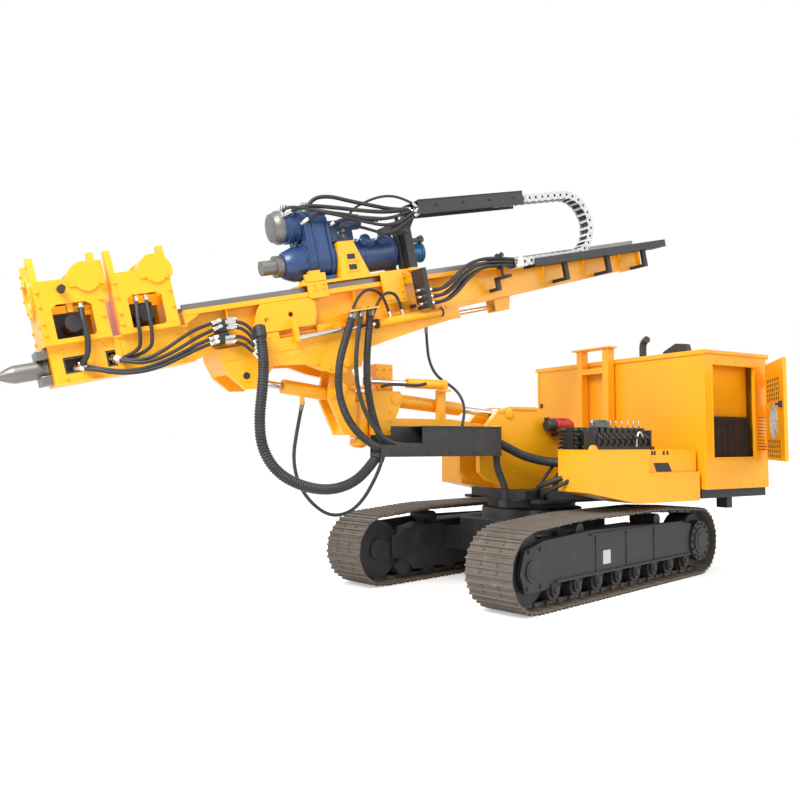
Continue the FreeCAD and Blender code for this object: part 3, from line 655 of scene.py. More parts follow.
bundle = {
    "thick": 0.030,
    "columns": (0, 1),
    "rows": (0, 1, 2),
    "route": [   # from the drag chain's end, down into the plate ahead
        (-1.410, .325, .430), (-1.190, .330, .466), (-.960, .330, .474), (-.780, .335, .410),
        (-.620, .340, .300),
        (-.455, .340, .230), (-.305, .335, .255),
    ],
    "spread": (0.056, 0.060),     # between columns and rows at the plate
    "gather": (0.034, 0.028),     # at the chain
}
fittings = {"collar": 0.045, "nut": 0.030, "grow": 1.22}


# A pressed collar and a nut over each end of a hose
def addFitting(work, place, way, radius):
    place, way = Vector(place), Vector(way).normalized()
    grown = radius * fittings["grow"]
    addTurned(work, place, way, [
        (-0.004, 0), (-0.004, grown * 0.8), (0, grown * 0.8), (0, grown), (fittings["collar"], grown),
        (fittings["collar"] + 0.004, radius * 1.02), (fittings["collar"] + 0.004, 0),
    ], 14)
    addRod(work, place - way * fittings["nut"], place, grown * 1.12, 6)


def makeSmallHoses():
    ends = {}
    for name, (thick, bodies, route) in smallHoses.items():
        alone = len(bodies) == 1
        piece = hosePiece(name, route, thick, 0, bodies[0] if alone else None, mastFrame)
        if len(bodies) == 2:
            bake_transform(piece)
        for place, toward in ((route[0], route[1]), (route[-1], route[-2])):
            body = bodies[-1] if place is route[-1] else bodies[0]
            ends.setdefault(body, []).append((place, Vector(toward) - Vector(place), thick / 2))
    columns, rows = bundle["columns"], bundle["rows"]
    for column in columns:
        for row in rows:
            route = []
            for number, (a, y, h) in enumerate(bundle["route"]):
                share = number / (len(bundle["route"]) - 1)
                wide = bundle["gather"][0] + (bundle["spread"][0] - bundle["gather"][0]) * share
                high = bundle["gather"][1] + (bundle["spread"][1] - bundle["gather"][1]) * share
                shift = (row - 1) * 0.018 * math.sin(math.pi * share)
                route.append((a + shift, y + (column - 0.5) * wide, h + (row - 1) * high))
            hosePiece("chain_hose_%d" % (column * 3 + row + 1), route, bundle["thick"], 0, "feed", mastFrame)
            for place, toward in ((route[0], route[1]), (route[-1], route[-2])):
                ends.setdefault("feed", []).append((place, Vector(toward) - Vector(place),
                                                    bundle["thick"] / 2))
    for body, rows in ends.items():
        work = bmesh.new()
        for place, way, radius in rows:
            addFitting(work, place, way, radius)
        keepPiece("hose_ends_" + body, work, body, "bright_rod", mastFrame)


def addHoseEnd(work, name, end, inward):
    thick, points = looseHoses[name][0], looseHoses[name][5]
    addFitting(work, points[end], Vector(points[inward]) - Vector(points[end]), thick / 2)


# The fittings and the collar at the loose hoses' ends
def makeHoseGear():
    work = bmesh.new()
    for name in ("hose_head_near", "hose_head_thin", "hose_head_far", "hose_cradle"):
        addHoseEnd(work, name, 0, 1)
    keepPiece("hose_tops", work, "cradle", "grey_steel")
    work = bmesh.new()
    points = looseHoses["hose_mast"][5]
    top, way = Vector(points[0]), (Vector(points[1]) - Vector(points[0])).normalized()
    addTurned(work, top - way * 0.02, way, [
        (0, 0), (0, 0.030), (0.012, 0.048), (0.095, 0.050), (0.100, 0.046), (0.100, 0.0),
    ], 28)
    keepPiece("sleeve_collar", work, "cradle", "dark_paint")
    work = bmesh.new()
    for name in ("hose_mast", "hose_tilt", "hose_head_near", "hose_head_thin", "hose_head_far"):
        addHoseEnd(work, name, -1, -2)
    keepPiece("hose_feet", work, "boom", "dark_paint")
    work = bmesh.new()
    addHoseEnd(work, "hose_tilt", 0, 1)
    keepPiece("tilt_port_nut", work, "tilt_cylinder", "grey_steel")


# Drag chain, in the mast's own frame

chain = {
    "front": -1.300, "rear": -2.110, "lowFront": -1.420,
    "high": 1.0175, "low": 0.4275,        # middles of its two runs
    "near": 0.386, "far": 0.264,
    "pitch": 0.0809,
    "hoses": (0.292, 0.325, 0.358),
}


def chainPlace(distance):
    run = chain["front"] - chain["rear"]
    radius = (chain["high"] - chain["low"]) / 2
    bend = math.pi * radius
    if distance < run:
        return Vector((chain["front"] - distance, 0, chain["high"])), 0.0
    if distance < run + bend:
        turn = (distance - run) / radius
        middle = Vector((chain["rear"], 0, chain["low"] + radius))
        return middle + Vector((-math.sin(turn), 0, math.cos(turn))) * radius, turn
    return Vector((chain["rear"] + distance - run - bend, 0, chain["low"])), math.pi


def chainLength():
    radius = (chain["high"] - chain["low"]) / 2
    return chain["front"] - chain["rear"] + math.pi * radius + chain["lowFront"] - chain["rear"]


def makeDragChain():
    plates, bars = bmesh.new(), bmesh.new()
    count = round(chainLength() / chain["pitch"])
    step = chainLength() / count
    half = step * 0.60
    side = [(-half, -.020), (-half * 0.7, -.036), (half * 0.7, -.036), (half, -.020), (half, .020),
            (half * 0.7, .036), (-half * 0.7, .036), (-half, .020)]
    for number in range(count):
        place, turn = chainPlace((number + 0.5) * step)
        link = bmesh.new()
        shift = 0.004 * (number % 2)
        for near in (chain["near"] - 0.003 - shift, chain["far"] - 0.003 + shift):
            addHoledPlate(link, side, [arc((0, 0), .014, 0, 330, 11)], near, near + 0.005)
        link.transform(Matrix.Translation(place) @ Matrix.Rotation(-turn, 4, "Y"))
        addMesh(plates, link)
        link = bmesh.new()
        for width, height in ((0.62, 0.034), (0.30, -0.040)):
            addBox(link, (-step * width / 2, chain["far"], height), (step * width / 2, chain["near"],
                                                                     height + 0.006))
        for y in (chain["far"] - 0.004, chain["near"] + 0.002):
            addRod(link, (half * 0.8, y - 0.003, 0), (half * 0.8, y + 0.003, 0), 0.009, 10)
        link.transform(Matrix.Translation(place) @ Matrix.Rotation(-turn, 4, "Y"))
        addMesh(bars, link)
    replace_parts(keepPiece("chain_plates", plates, "chain", "grey_plastic", mastFrame), "drag_chain")
    keepPiece("chain_bars", bars, "chain", "grey_plastic", mastFrame, material="zinc")
    work = bmesh.new()
    steps = 56
    for y in chain["hoses"]:
        for lift in (-0.016, 0.016):
            stops = []
            for number in range(steps + 1):
                place, turn = chainPlace(chainLength() * number / steps)
                out = Vector((-math.sin(turn), 0, math.cos(turn)))
                stops.append((place + out * lift + Vector((0, y, 0)), Vector((-math.cos(turn), 0,
                                                                              -math.sin(turn)))))
            tubeMesh(work, stops, [0.0145] * len(stops), 10)
    keepPiece("chain_hoses", work, "chain", "black_rubber", mastFrame)
    work = bmesh.new()
    for y in (.392, .252):
        addPlate(work, [(-1.43, .386), (-1.335, .386), (-1.345, .405), (-1.40, .500), (-1.43, .470)], y,
                 y + .006)
    addBox(work, (-1.42, .256, .376), (-1.34, .394, .384))
    keepPiece("chain_end", work, "feed", "grey_plastic", mastFrame, 0.002, material="zinc")
    work = bmesh.new()
    for y in chain["hoses"]:
        for height in (-0.020, 0.020):
            addRod(work, (-.50, y, chain["high"] + height), (-.36, y, chain["high"] + height - 0.006), 0.0155,
                   14)
    keepPiece("cover_hoses", work, "carriage", "black_rubber", mastFrame)
    work = bmesh.new()
    for y in (0.2385, 0.4095):
        for height in (0.962, 1.083):
            addBox(work, (-1.56, y - 0.006, height - 0.004), (-.36, y + 0.006, height + 0.004))
    addBox(work, (-.40, .200, 1.030), (-.34, .250, 1.060))
    for a in (-1.45, -1.15, -.85, -.55):
        addBolts(work, [(a, .411, 1.03)], (0, 1, 0), 0.010)
    keepPiece("cover_edges", work, "carriage", "dark_paint", mastFrame, 0.002)
    # The bracket ahead of the cover that carries the head's hoses, and the clamp on the hoses to the plate
    work = bmesh.new()
    addPlate(work, [(.255, .82), (.400, .82), (.400, .850), (.275, .850), (.275, 1.000), (.255, 1.000)],
             -.215, -.185, "x")
    addBox(work, (-.300, .196, .860), (-.185, .262, .885))
    addBox(work, (-.205, .262, .990), (-.195, .395, 1.000))
    keepPiece("hose_bracket", work, "carriage", "dark_paint", mastFrame, 0.002)
    work = bmesh.new()
    addBox(work, (-1.225, .285, .395), (-1.185, .375, .425))
    addBox(work, (-1.225, .285, .505), (-1.185, .375, .535))
    addBox(work, (-1.220, .322, .325), (-1.190, .340, .400))
    addBolts(work, [(-1.205, .296, .535), (-1.205, .364, .535)], (0, 0, 1), 0.010)
    keepPiece("bundle_clamp", work, "feed", "dark_paint", mastFrame, 0.002)
    print("drag chain linked")


# Rotary head and its motors, in the mast's own frame

head = {
    "axis": 0.720, "crown": 1.000, "radius": 0.170,
    "bell": [(0, 0), (0, .166), (.022, .168), (.026, .150), (.060, .146), (.110, .144), (.150, .130),
             (.195, .112),
             (.205, .100), (.205, 0)],
    "motor": [(0, 0), (0, .150), (.020, .152), (.024, .138), (.070, .138), (.076, .146), (.100, .146),
              (.106, .136),
              (.165, .134), (.205, .112), (.213, .080), (.213, 0)],
}


def lobes(grow):
    reach = head["radius"] + grow
    return (arc((0, head["axis"]), reach, -180, 0, 20) + arc((0, head["crown"]), reach, 0, 180, 20))


def makeHead():
    work = bmesh.new()
    u = (1, 0, 0)
    addTurned(work, (.640, 0, head["axis"]), u, head["bell"], 48)
    addPlate(work, lobes(-0.012), .430, .645, "x")
    for low, high, grow in ((.424, .446, .004), (.560, .574, -.003), (.630, .650, .004)):
        addPlate(work, lobes(grow), low, high, "x")
    addBox(work, (.430, -.150, .535), (.650, .150, .575))
    for number in range(16):
        turn = math.radians(-170 + number * 22.6 if number < 8 else (number - 8) * 22.6 + 10)
        middle = head["axis"] if number < 8 else head["crown"]
        spot = (.650, (head["radius"] - .014) * math.cos(turn),
                middle + (head["radius"] - .014) * math.sin(turn))
        addBolt(work, spot, u, 0.011)
    addBoltRing(work, .664, head["axis"], .157, [number * math.pi / 6 for number in range(12)], u, 0.008)
    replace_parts(keepPiece("head_casing", work, "carriage", "blue_paint", mastFrame, 0.003), "rotary_head")
    work = bmesh.new()
    addTurned(work, (.652, 0, 1.040), u, head["motor"], 40)
    addBoltRing(work, .672, 1.040, .144, [number * math.pi / 5 for number in range(10)], u, 0.008)
    addTurned(work, (-.225, 0, head["axis"]), u, [
        (0, 0), (0, .158), (.025, .158), (.028, .149), (.30, .149), (.303, .158), (.33, .158), (.334, .1495),
        (.60, .1495), (.603, .160), (.640, .160), (.640, 0),
    ], 44)
    addBox(work, (.175, -.115, .855), (.425, .115, 1.035))
    for a, h, radius in ((.100, .815, .050), (-.060, .800, .040)):
        addTurned(work, (a, .105, h), (0, 1, .30), [(0, 0), (0, radius), (.075, radius), (.082, radius * .8),
                                                     (.100, radius * .8), (.104, radius * .6), (.104, 0)], 24)
    for a in (.21, .30, .39):
        addBolts(work, [(a, .115, .885), (a, .115, 1.005)], (0, 1, 0), 0.010)
    turns = [number * math.pi / 7 for number in range(14)]
    addBoltRing(work, .378, head["axis"], .152, turns, (-1, 0, 0), 0.008)
    addTurned(work, (.060, .055, 1.010), u, [(0, 0), (0, .050), (.02, .062), (.14, .062), (.15, .050),
                                             (.19, .046),
                                             (.19, 0)], 24)
    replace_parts(keepPiece("head_motor_casings", work, "carriage", "blue_paint", mastFrame, 0.003),
                "head_motors")
    work = bmesh.new()
    addTurned(work, (-.235, 0, .690), (-1, 0, 0), [
        (0, 0), (0, .094), (.045, .094), (.050, .088), (.290, .088), (.296, .094), (.325, .094), (.330, .080),
        (.330, 0),
    ], 36)
    keepPiece("air_swivel", work, "carriage", "teal_paint", mastFrame, 0.002)
    work = bmesh.new()
    addBox(work, (-.330, .085, .530), (-.238, .160, .965))
    addBox(work, (-.330, -.160, .530), (-.238, -.085, .965))
    addBox(work, (-.330, -.160, .880), (-.238, .160, .965))
    keepPiece("head_post", work, "carriage", "dark_paint", mastFrame, 0.006)
    work = bmesh.new()
    addRod(work, (-.240, .060, .795), (-.520, .060, .795), .022, 16)
    addTurned(work, (-.520, .060, .795), (-1, 0, .2), [(0, 0), (0, .030), (.03, .034), (.045, .034),
                                                       (.05, .026),
                                                      (.05, 0)], 12)
    keepPiece("grease_pipe", work, "carriage", "dark_paint", mastFrame, material="olive_paint")
    work = bmesh.new()
    addTurned(work, (.795, 0, 1.040), u, [(0, 0), (0, .141), (.03, .1415), (.05, .128), (.075, .118),
                                          (.083, .09),
                                          (.083, 0)], 36)
    for y, h in ((.05, 1.175), (.10, 1.150), (.0, 1.182), (-.06, 1.170)):
        addFitting(work, (.74, y, h - .010), (-.3, .25, 1), .014)
        addFitting(work, (.56, y, h), (-.5, .25, .8), .014)
    for h in (.885, .930, .975, 1.010):
        addFitting(work, (.300, .112, h), (-.2, 1, .1), .013)
    keepPiece("head_fittings", work, "carriage", "grey_steel", mastFrame)
    work = bmesh.new()
    for start, end, radius in (
        ((.60, .06, 1.188), (.20, .10, 1.075), .015), ((.55, -.02, 1.192), (.15, .02, 1.078), .015),
        ((.45, .10, 1.120), (.10, .14, 1.050), .012), ((.18, .10, 1.060), (-.12, .16, 1.000), .018),
        ((.15, .00, 1.075), (-.14, .06, 1.010), .018),
    ):
        addRod(work, start, end, radius, 12)
    keepPiece("head_pipes", work, "carriage", "grey_steel", mastFrame)
    # Carriage trim: pocket frames on the stand, bolts, sliding pads
    work = bmesh.new()
    for low in (.575, .665):
        addHoledPlate(work, rectangle(.225, .335, low, low + .075),
                      [rectangle(.240, .320, low + .014, low + .061)],
                      .190, .198)
    for a in (-.28, -.20, .60, .68):
        addBolts(work, [(a, .200, .470), (a, .200, .510)], (0, 1, 0), 0.011)
    for a in (-.14, -.06, .01):
        addBolts(work, [(a, .216, .290), (a, .216, .350)], (0, 1, 0), 0.012)
    addBox(work, (.560, .165, .535), (.745, .205, .600))
    addBox(work, (.600, .150, .600), (.700, .200, .625))
    addPlate(work, [(.760, .510), (.820, .510), (.760, .560)], .150, .200)
    keepPiece("carriage_trim", work, "carriage", "yellow_paint", mastFrame, 0.002)
    # Thin dark plates in the pocket frames' openings: painted shade for the recessed pockets
    work = bmesh.new()
    for low in (.575, .665):
        addBox(work, (.240, .1902, low + .014), (.320, .1925, low + .061))
    keepPiece("stand_pocket_shade", work, "carriage", "dark_paint", mastFrame)
    print("rotary head dressed")


# Rod clamps, front box and spike, in the mast's own frame

clamps = [(1.850, 2.280, 1.950), (2.350, 2.800, 2.440)]      # rear face, front face, hump


def makeClamps():
    work = bmesh.new()
    for rear, front, hump in clamps:
        for low, high in ((-.236, -.112), (.112, .236)):
            addPlate(work, arc((hump, .770), .128, -20, 200, 22), low, high)
        for at in (rear, front - .045):
            for y in (-.2255, .1905):
                addPlate(work, [(at - .004, .345), (at + .049, .345), (at + .049, .40), (at + .030, .43),
                                (at + .015, .43),
                                (at - .004, .40)], y, y + .035)
        addPlate(work, [(rear + .045, .620), (rear + .130, .620), (rear + .045, .560)], .196, .226)
        addPlate(work, [(front - .045, .620), (front - .130, .620), (front - .045, .560)], .196, .226)
        addPlate(work, [(rear + .045, .380), (rear + .110, .380), (rear + .045, .440)], .196, .226)
        addBolts(work, [(rear + .022, .226, h) for h in (.50, .62, .72)], (0, 1, 0), 0.012)
        addBolts(work, [(front - .022, .226, h) for h in (.42, .50, .62, .72)], (0, 1, 0), 0.012)
        addBox(work, (rear + .045, -.195, .345), (front - .045, .195, .365))
        addBox(work, (rear + .045, -.190, .560), (front - .045, -.120, .650))
    ring = arc((0, .720), .170, -232, 52, 30) + arc((0, .720), .116, 52, -232, 30)
    addPlate(work, ring, 2.800, 2.818, "x")
    turns = [math.radians(-220 + number * 43) for number in range(7)]
    addBoltRing(work, 2.818, .720, .143, turns, (1, 0, 0), 0.010)
    for y in (-.19, .19):
        addBolts(work, [(2.800, y, h) for h in (.40, .48, .90)], (1, 0, 0), 0.012)
    keepPiece("clamp_trim", work, "feed", "yellow_paint", mastFrame, 0.003)
    work = bmesh.new()
    for rear, front, hump in clamps:
        middle = (rear + front) / 2
        addRod(work, (middle, -.190, .480), (middle, .190, .480), .048, 24)
        addRod(work, (middle, -.192, .480), (middle, -.150, .480), .060, 24)
        addRod(work, (middle, .150, .480), (middle, .192, .480), .060, 24)
        addBox(work, (middle - .12, -.150, .400), (middle + .12, -.08, .590))
    keepPiece("clamp_cylinders", work, "feed", "dark_paint", mastFrame, 0.003)
    work = bmesh.new()
    addRod(work, (2.395, .150, .590), (2.600, .150, .590), .026, 20)
    addBox(work, (2.560, .120, .560), (2.600, .190, .625))
    for a in (2.395, 2.700):
        addBolts(work, [(a, .180, .110), (a, .180, .300)], (0, 1, 0), 0.012)
    addBolts(work, [(1.86, .180, h) for h in (.11, .30)], (0, 1, 0), 0.012)
    addBox(work, (2.300, .180, .070), (2.345, .188, .340))
    addBox(work, (1.785, .180, .065), (2.780, .190, .078))
    addBox(work, (1.785, .180, .332), (2.780, .196, .347))
    addPlate(work, [(1.60, .455), (1.80, .455), (1.80, .345)], .150, .178)
    addPlate(work, [(1.560, .130), (1.80, .130), (1.80, .066)], -.150, .176)
    keepPiece("front_trim", work, "feed", "yellow_paint", mastFrame, 0.003)
    # Dark frames round the front box's windows, and dark plates set back inside them as painted shade for the
    # box's interior
    work = bmesh.new()
    for low, high in ((2.560, 2.690), (2.310, 2.400)):
        addHoledPlate(work, rectangle(low - .012, high + .012, .138, .252),
                      [rectangle(low, high, .150, .240)],
                      .180, .183)
        addBox(work, (low, .100, .150), (high, .110, .240))
    keepPiece("box_window_frames_and_shade", work, "feed", "dark_paint", mastFrame)
    work = bmesh.new()
    addTurned(work, (2.786, 0, .205), (1, 0, 0), [
        (0, 0), (0, .085), (.020, .085), (.024, .064), (.214, .0635), (.222, .0635), (.262, .052),
        (.330, .020),
        (.330, 0),
    ], 32)
    for low in (.086, .266):
        addBox(work, (2.782, -.124, low), (2.856, .124, low + .068))
    keepPiece("spike", work, "feed", "grey_steel", mastFrame, 0.006)
    print("clamps dressed")


# Feed beam and cradle, in the mast's own frame

def makeBeam():
    work = bmesh.new()
    side = [(.700, .290), (.735, .185), (1.270, .185), (1.270, .250), (1.215, .370), (1.180, .415),
            (.760, .415),
            (.700, .380)]
    addHoledPlate(work, side, [arc((.935, .300), .022, 0, 340, 17), arc((1.150, .285), .019, 0, 340, 17)],
                  .176, .190)
    for a in (.80, 1.12):
        addBox(work, (a, .118, .20), (a + .03, .178, .40))
    for a in (-3.0, -2.45, -1.9, -1.35, -.8, .30, 1.45):
        addPlate(work, [(.119, .225), (.172, .400), (.172, .431), (.119, .431)], a, a + .014, "x")
        addPlate(work, [(-.119, .225), (-.172, .400), (-.172, .431), (-.119, .431)], a, a + .014, "x")
    addHoledPlate(work, rectangle(-.155, .155, .200, .455), [rectangle(-.095, .095, .245, .415)], -3.302,
                  -3.286, "x")
    for y in (-.182, .166):
        addBox(work, (-3.290, y, .418), (1.790, y + .016, .458))
    addPlate(work, [(-1.47, .155), (-1.43, .02), (-1.26, .02), (-1.26, .135)], -.066, .066)
    keepPiece("beam_trim", work, "feed", "yellow_paint", mastFrame, 0.002)
    work = bmesh.new()
    links = 88
    for number in range(links):
        a = -3.15 + number * .055
        for y in ((-.030, -.018) if number % 2 else (-.040, -.008)):
            addBox(work, (a - .036, y - .003, .458), (a + .036, y + .003, .482))
        addRod(work, (a + .027, -.044, .470), (a + .027, -.004, .470), .008, 8)
    keepPiece("feed_chain", work, "feed", "dark_paint", mastFrame)
    work = bmesh.new()
    for end in (-3.250, 1.700):
        addTurned(work, (end, -.070, .380), (0, 1, 0), [(0, 0), (0, .092), (.012, .092), (.014, .07),
                                                        (.082, .07),
                                                        (.084, .092), (.096, .092), (.096, 0)], 24)
    keepPiece("feed_sprockets", work, "feed", "dark_paint", mastFrame)
    work = bmesh.new()
    sideRow = ((.44, -.16), (.52, -.20), (.60, -.21), (.70, -.19), (.40, -.10), (.80, -.13))
    addBolts(work, [(a, .2105, h) for a, h in sideRow], (0, 1, 0), 0.012)
    for a in (.86, .945, 1.03):
        addBox(work, (a, .2095, -.040), (a + .045, .213, -.022))
    addHoledPlate(work, arc((1.420, -.120), .050, 0, 350, 24), [arc((1.420, -.120), .030, 0, 340, 18)], .210,
                  .2135)
    for a in (-.6, -.1, .6, 1.17):
        addBolts(work, [(a, .185, .150), (a + .05, .185, .150)], (0, 1, 0), 0.011)
    addPlate(work, [(-.72, .020), (1.60, .020), (1.60, .036), (-.72, .036)], .209, .216)
    addTurned(work, (.640, .209, -.395), (0, 1, 0), [(0, 0), (0, .062), (.02, .062), (.024, .05), (.024, 0)],
              24)
    keepPiece("cradle_trim", work, "cradle", "yellow_paint", mastFrame, 0.002)
    work = bmesh.new()
    # A thin dark disc in the ring's hole is painted shade for the hole; then two dark rings
    addRod(work, (1.420, .2100, -.120), (1.420, .2112, -.120), .029, 18)
    for a in (-.498, .183):
        addTurned(work, (a, .245, .100), (1, 0, 0), [(0, .027), (0, .042), (.018, .042), (.018, .027),
                                                     (0, .027)], 24)
    keepPiece("cradle_rings_and_hole_shade", work, "cradle", "dark_paint", mastFrame)
    work = bmesh.new()
    for h in (.329, .284):
        addFitting(work, (1.475, .262, h), (-1, 0, 0), .014)
    for h in (.198, .161):
        addFitting(work, (1.510, .266, h), (-1, 0, 0), .014)
    for row in (-1, 0, 1):
        for y in (.307, .363):
            addRod(work, (-.300, y, .255 + row * .060), (-.205, y, .255 + row * .060), .015, 12)
    keepPiece("bulkhead_fittings", work, "feed", "bright_rod", mastFrame)
    print("beam and cradle dressed")


# Tracks and their frames, in the tracks' own frame

track = {
    "middle": 0.865, "shoe": 0.460, "count": 46,
    "wheels": [     # x, z, radius
        (1.405, .338, .338), (-1.405, .338, .338), (-.660, .592, .130), (.660, .592, .130),
    ],
    "pins": 0.045,                      # the pins' line lies this far under the bars
    "rollers": [(number - 3.5) * .316 for number in range(8)],
    "plate": (.335, .345, .118),        # the blank plate: x, z, side
}


def pinLine():
    wheels = [(x, z, radius - track["pins"]) for x, z, radius in track["wheels"]]
    path = []
    for before, here, after in zip(wheels[-1:] + wheels[:-1], wheels, wheels[1:] + wheels[:1]):
        outs = []
        for (x0, z0, r0), (x1, z1, r1) in ((before, here), (here, after)):
            gap = math.hypot(x1 - x0, z1 - z0)
            outs.append(math.atan2(z1 - z0, x1 - x0) + math.pi / 2 - math.asin((r0 - r1) / gap))
        sweep = (outs[0] - outs[1]) % (2 * math.pi)
        for number in range(33):
            turn = outs[0] - sweep * number / 32
            path.append(Vector((here[0] + here[2] * math.cos(turn), 0, here[1] + here[2] * math.sin(turn))))
    return path + path[:1]


def makeShoe(pitch):
    work = bmesh.new()
    half = track["shoe"] / 2
    upper = [(-.485, .027), (-.44, .027), (-.40, .045), (-.33, .045), (-.30, .029), (-.07, .029),
             (-.04, .045),
             (.04, .045), (.07, .029), (.30, .029), (.33, .045), (.40, .045), (.44, .027), (.485, .027)]
    outline = [(share * pitch, z) for share, z in [(.485, .017), (-.485, .017)] + upper]
    addPlate(work, outline, -half, half)
    for side in (-1, 1):
        for y, start, end in ((.066, -.64, .10), (.084, -.10, .64)):
            low, high = sorted((side * y, side * (y + .018)))
            addPlate(work, [(start * pitch, -.016), (end * pitch, -.016), (end * pitch, .017),
                            (start * pitch, .017)],
                     low, high)
        for share in (-.18, .18):
            addBolt(work, (share * pitch, side * .082, .029), (0, 0, 1), 0.010)
    addRod(work, (-pitch / 2, -.106, 0), (-pitch / 2, .106, 0), .018, 12)
    addBox(work, (.44 * pitch, -half, .010), (.60 * pitch, half, .0165))
    return work


def across(side, low, high):
    return sorted((side * (track["middle"] + low), side * (track["middle"] + high)))


def makeTracks():
    line = pinLine()
    whole = sum((b - a).length for a, b in zip(line, line[1:]))
    stops = evenSteps(line, whole / track["count"])[0]
    shoe = makeShoe(whole / track["count"])
    for side, name in ((1, "left"), (-1, "right")):
        work = bmesh.new()
        for (start, _), (end, _) in zip(stops, stops[1:]):
            way = (end - start).normalized()
            turn = Matrix((way, (0, 1, 0), (-way.z, 0, way.x))).transposed().to_4x4()
            middle = (start + end) / 2 + Vector((0, side * track["middle"], 0))
            link = shoe.copy()
            link.transform(Matrix.Translation(middle) @ turn)
            addMesh(work, link)
        piece = keepPiece("track_shoes_" + name, work, "chassis", "worn_steel", trackFrame, 0.002)
        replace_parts(piece, "track_" + name)
    shoe.free()
    darks, marks = bmesh.new(), bmesh.new()
    for side in (1, -1):
        out = (0, side, 0)
        outer, hub, boss = [side * (track["middle"] + reach) for reach in (.185, .205, .196)]
        face = across(side, .180, .203)
        addBox(darks, (-1.20, face[0], .214), (1.10, face[1], .234))
        addBox(darks, (-1.05, face[0], .548), (.60, face[1], .562))
        face = across(side, .150, .196)
        for x in track["rollers"]:
            addPlate(darks, [(x - .062, .216), (x - .045, .125), (x - .02, .105), (x + .02, .105),
                             (x + .045, .125),
                             (x + .062, .216)], *face)
        for x in track["rollers"]:
            addTurned(darks, (x, boss, .158), out,
                      [(0, 0), (0, .030), (.010, .030), (.014, .022), (.014, 0)], 16)
            addBolts(darks, [(x - .04, boss, .20), (x + .04, boss, .20)], out, 0.009)
        addTurned(darks, (1.405, outer, .338), out, [(0, 0), (0, .085), (.012, .085), (.016, .060),
                                                     (.024, .055),
                                                     (.024, 0)], 28)
        addTurned(darks, (-1.405, hub, .338), out,
                  [(0, 0), (0, .130), (.010, .130), (.014, .090), (.022, .085), (.022, 0)], 28)
        for number in range(14):
            turn = number * math.pi / 7
            addBolt(darks, (-1.405 + .170 * math.cos(turn), hub, .338 + .170 * math.sin(turn)), out, 0.012)
        addBolts(darks, [(1.30, outer, .50), (1.45, outer, .49), (1.30, outer, .21), (1.47, outer, .21)], out,
                 0.013)
        face = across(side, .184, .192)
        for x in (-.5, 0, .5):
            addBox(darks, (x - .012, face[0], .234), (x + .012, face[1], .548))
        x, z, width = track["plate"]
        face = across(side, .184, .189)
        addBox(marks, (x - width / 2, face[0], z - width / 2), (x + width / 2, face[1], z + width / 2))
        face = across(side, -.172, -.182)
        addPlate(darks, [(-1.25, .110), (.98, .110), (1.12, .235), (1.26, .240), (1.26, .450), (.98, .525),
                         (-1.15, .525), (-1.30, .400)], *face)
        inner = side * (track["middle"] - .182)
        addBolts(darks, [(x, inner, .30) for x in (-.8, -.3, .2, .7, 1.1)], (0, -side, 0), 0.014)
    keepPiece("frame_trim", darks, "chassis", "dark_paint", trackFrame, 0.002)
    keepPiece("frame_plates", marks, "chassis", "grey_plastic", trackFrame, 0.001)
    print("tracks linked")


# Upper works: housing, door, console, valves and pump

def makeHousing():
    work = bmesh.new()
    addBolts(work, [(x, 1.190, .935) for x in (-1.25, -1.63, -1.83, -2.01)], (0, 1, 0), 0.012)
    for x in (-1.31, -1.60, -1.89):
        addBolts(work, [(x, 1.190, 2.135)], (0, 1, 0), 0.009)
    addBox(work, (-.790, .735, 1.262), (-.400, .775, 1.272))
    addHoledPlate(work, rectangle(-1.905, -1.235, 1.180, 2.100), [rectangle(-1.890, -1.250, 1.195, 2.085)],
                  1.188, 1.196)
    for x in (-2.106, -1.114):
        addBox(work, (x - .001, -1.205, 2.180), (x + .001, 1.205, 2.192))
    for y in (-1.16, 0, 1.15):
        addBox(work, (-1.131, y - .012, .900), (-1.124, y + .012, 2.185))
    keepPiece("housing_trim", work, "upper", "yellow_paint", None, 0.002)
    work = bmesh.new()
    # Thin dark stripes on the housing's side: painted shade for vent slots; then other dark parts
    for number in range(11):
        z = 1.262 + number * .032
        addBox(work, (-2.062, 1.189, z), (-1.930, 1.192, z + .006))
    addPlate(work, [(.46, 2.224), (.46, 2.285), (.62, 2.360), (.74, 2.345), (.78, 2.224)], -1.500, -1.420,
             "x")
    addBox(work, (-1.60, 1.00, .700), (-1.52, 1.12, .885))
    for z in (1.75, 1.15):
        addBox(work, (-1.131, -1.130, z), (-1.116, -1.100, z + .05))
    keepPiece("housing_darks_and_vent_shade", work, "upper", "dark_paint", None, 0.002)
    work = bmesh.new()
    addTube(work, [(-1.50, .122, 2.224), (-1.50, .122, 2.330), (-1.50, .122, 2.395), (-1.495, .145, 2.440),
                   (-1.480, .200, 2.455)], .038, .012, 24)
    addTurned(work, (-1.50, .122, 2.224), (0, 0, 1), [(0, 0), (0, .055), (.012, .055), (.012, 0)], 24)
    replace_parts(keepPiece("exhaust_pipe", work, "upper", "dark_paint"), "exhaust")
    work = bmesh.new()
    addHoledPlate(work, rectangle(-1.890, -1.250, 1.195, 1.588), [rectangle(-1.855, -1.285, 1.225, 1.560)],
                  1.108, 1.122)
    for number in range(27):
        z = 1.232 + number * .0122
        addBox(work, (-1.855, 1.1095, z), (-1.285, 1.1125, z + .005))
    for x in (-1.76, -1.67, -1.57, -1.48, -1.38):
        addBox(work, (x - .003, 1.1095, 1.225), (x + .003, 1.1150, 1.560))
    keepPiece("radiator_core", work, "upper", "dark_paint", None, 0.0)
    work = bmesh.new()
    for z in (1.320, 1.640, 1.960):
        addRod(work, (-2.05, 1.212, z - .004), (-2.05, 1.212, z + .064), .0145, 16)
        addBolts(work, [(-2.075, 1.190, z + .015), (-2.075, 1.190, z + .045)], (0, 1, 0), 0.006)
    keepPiece("hinge_trim", work, "upper", "yellow_paint")


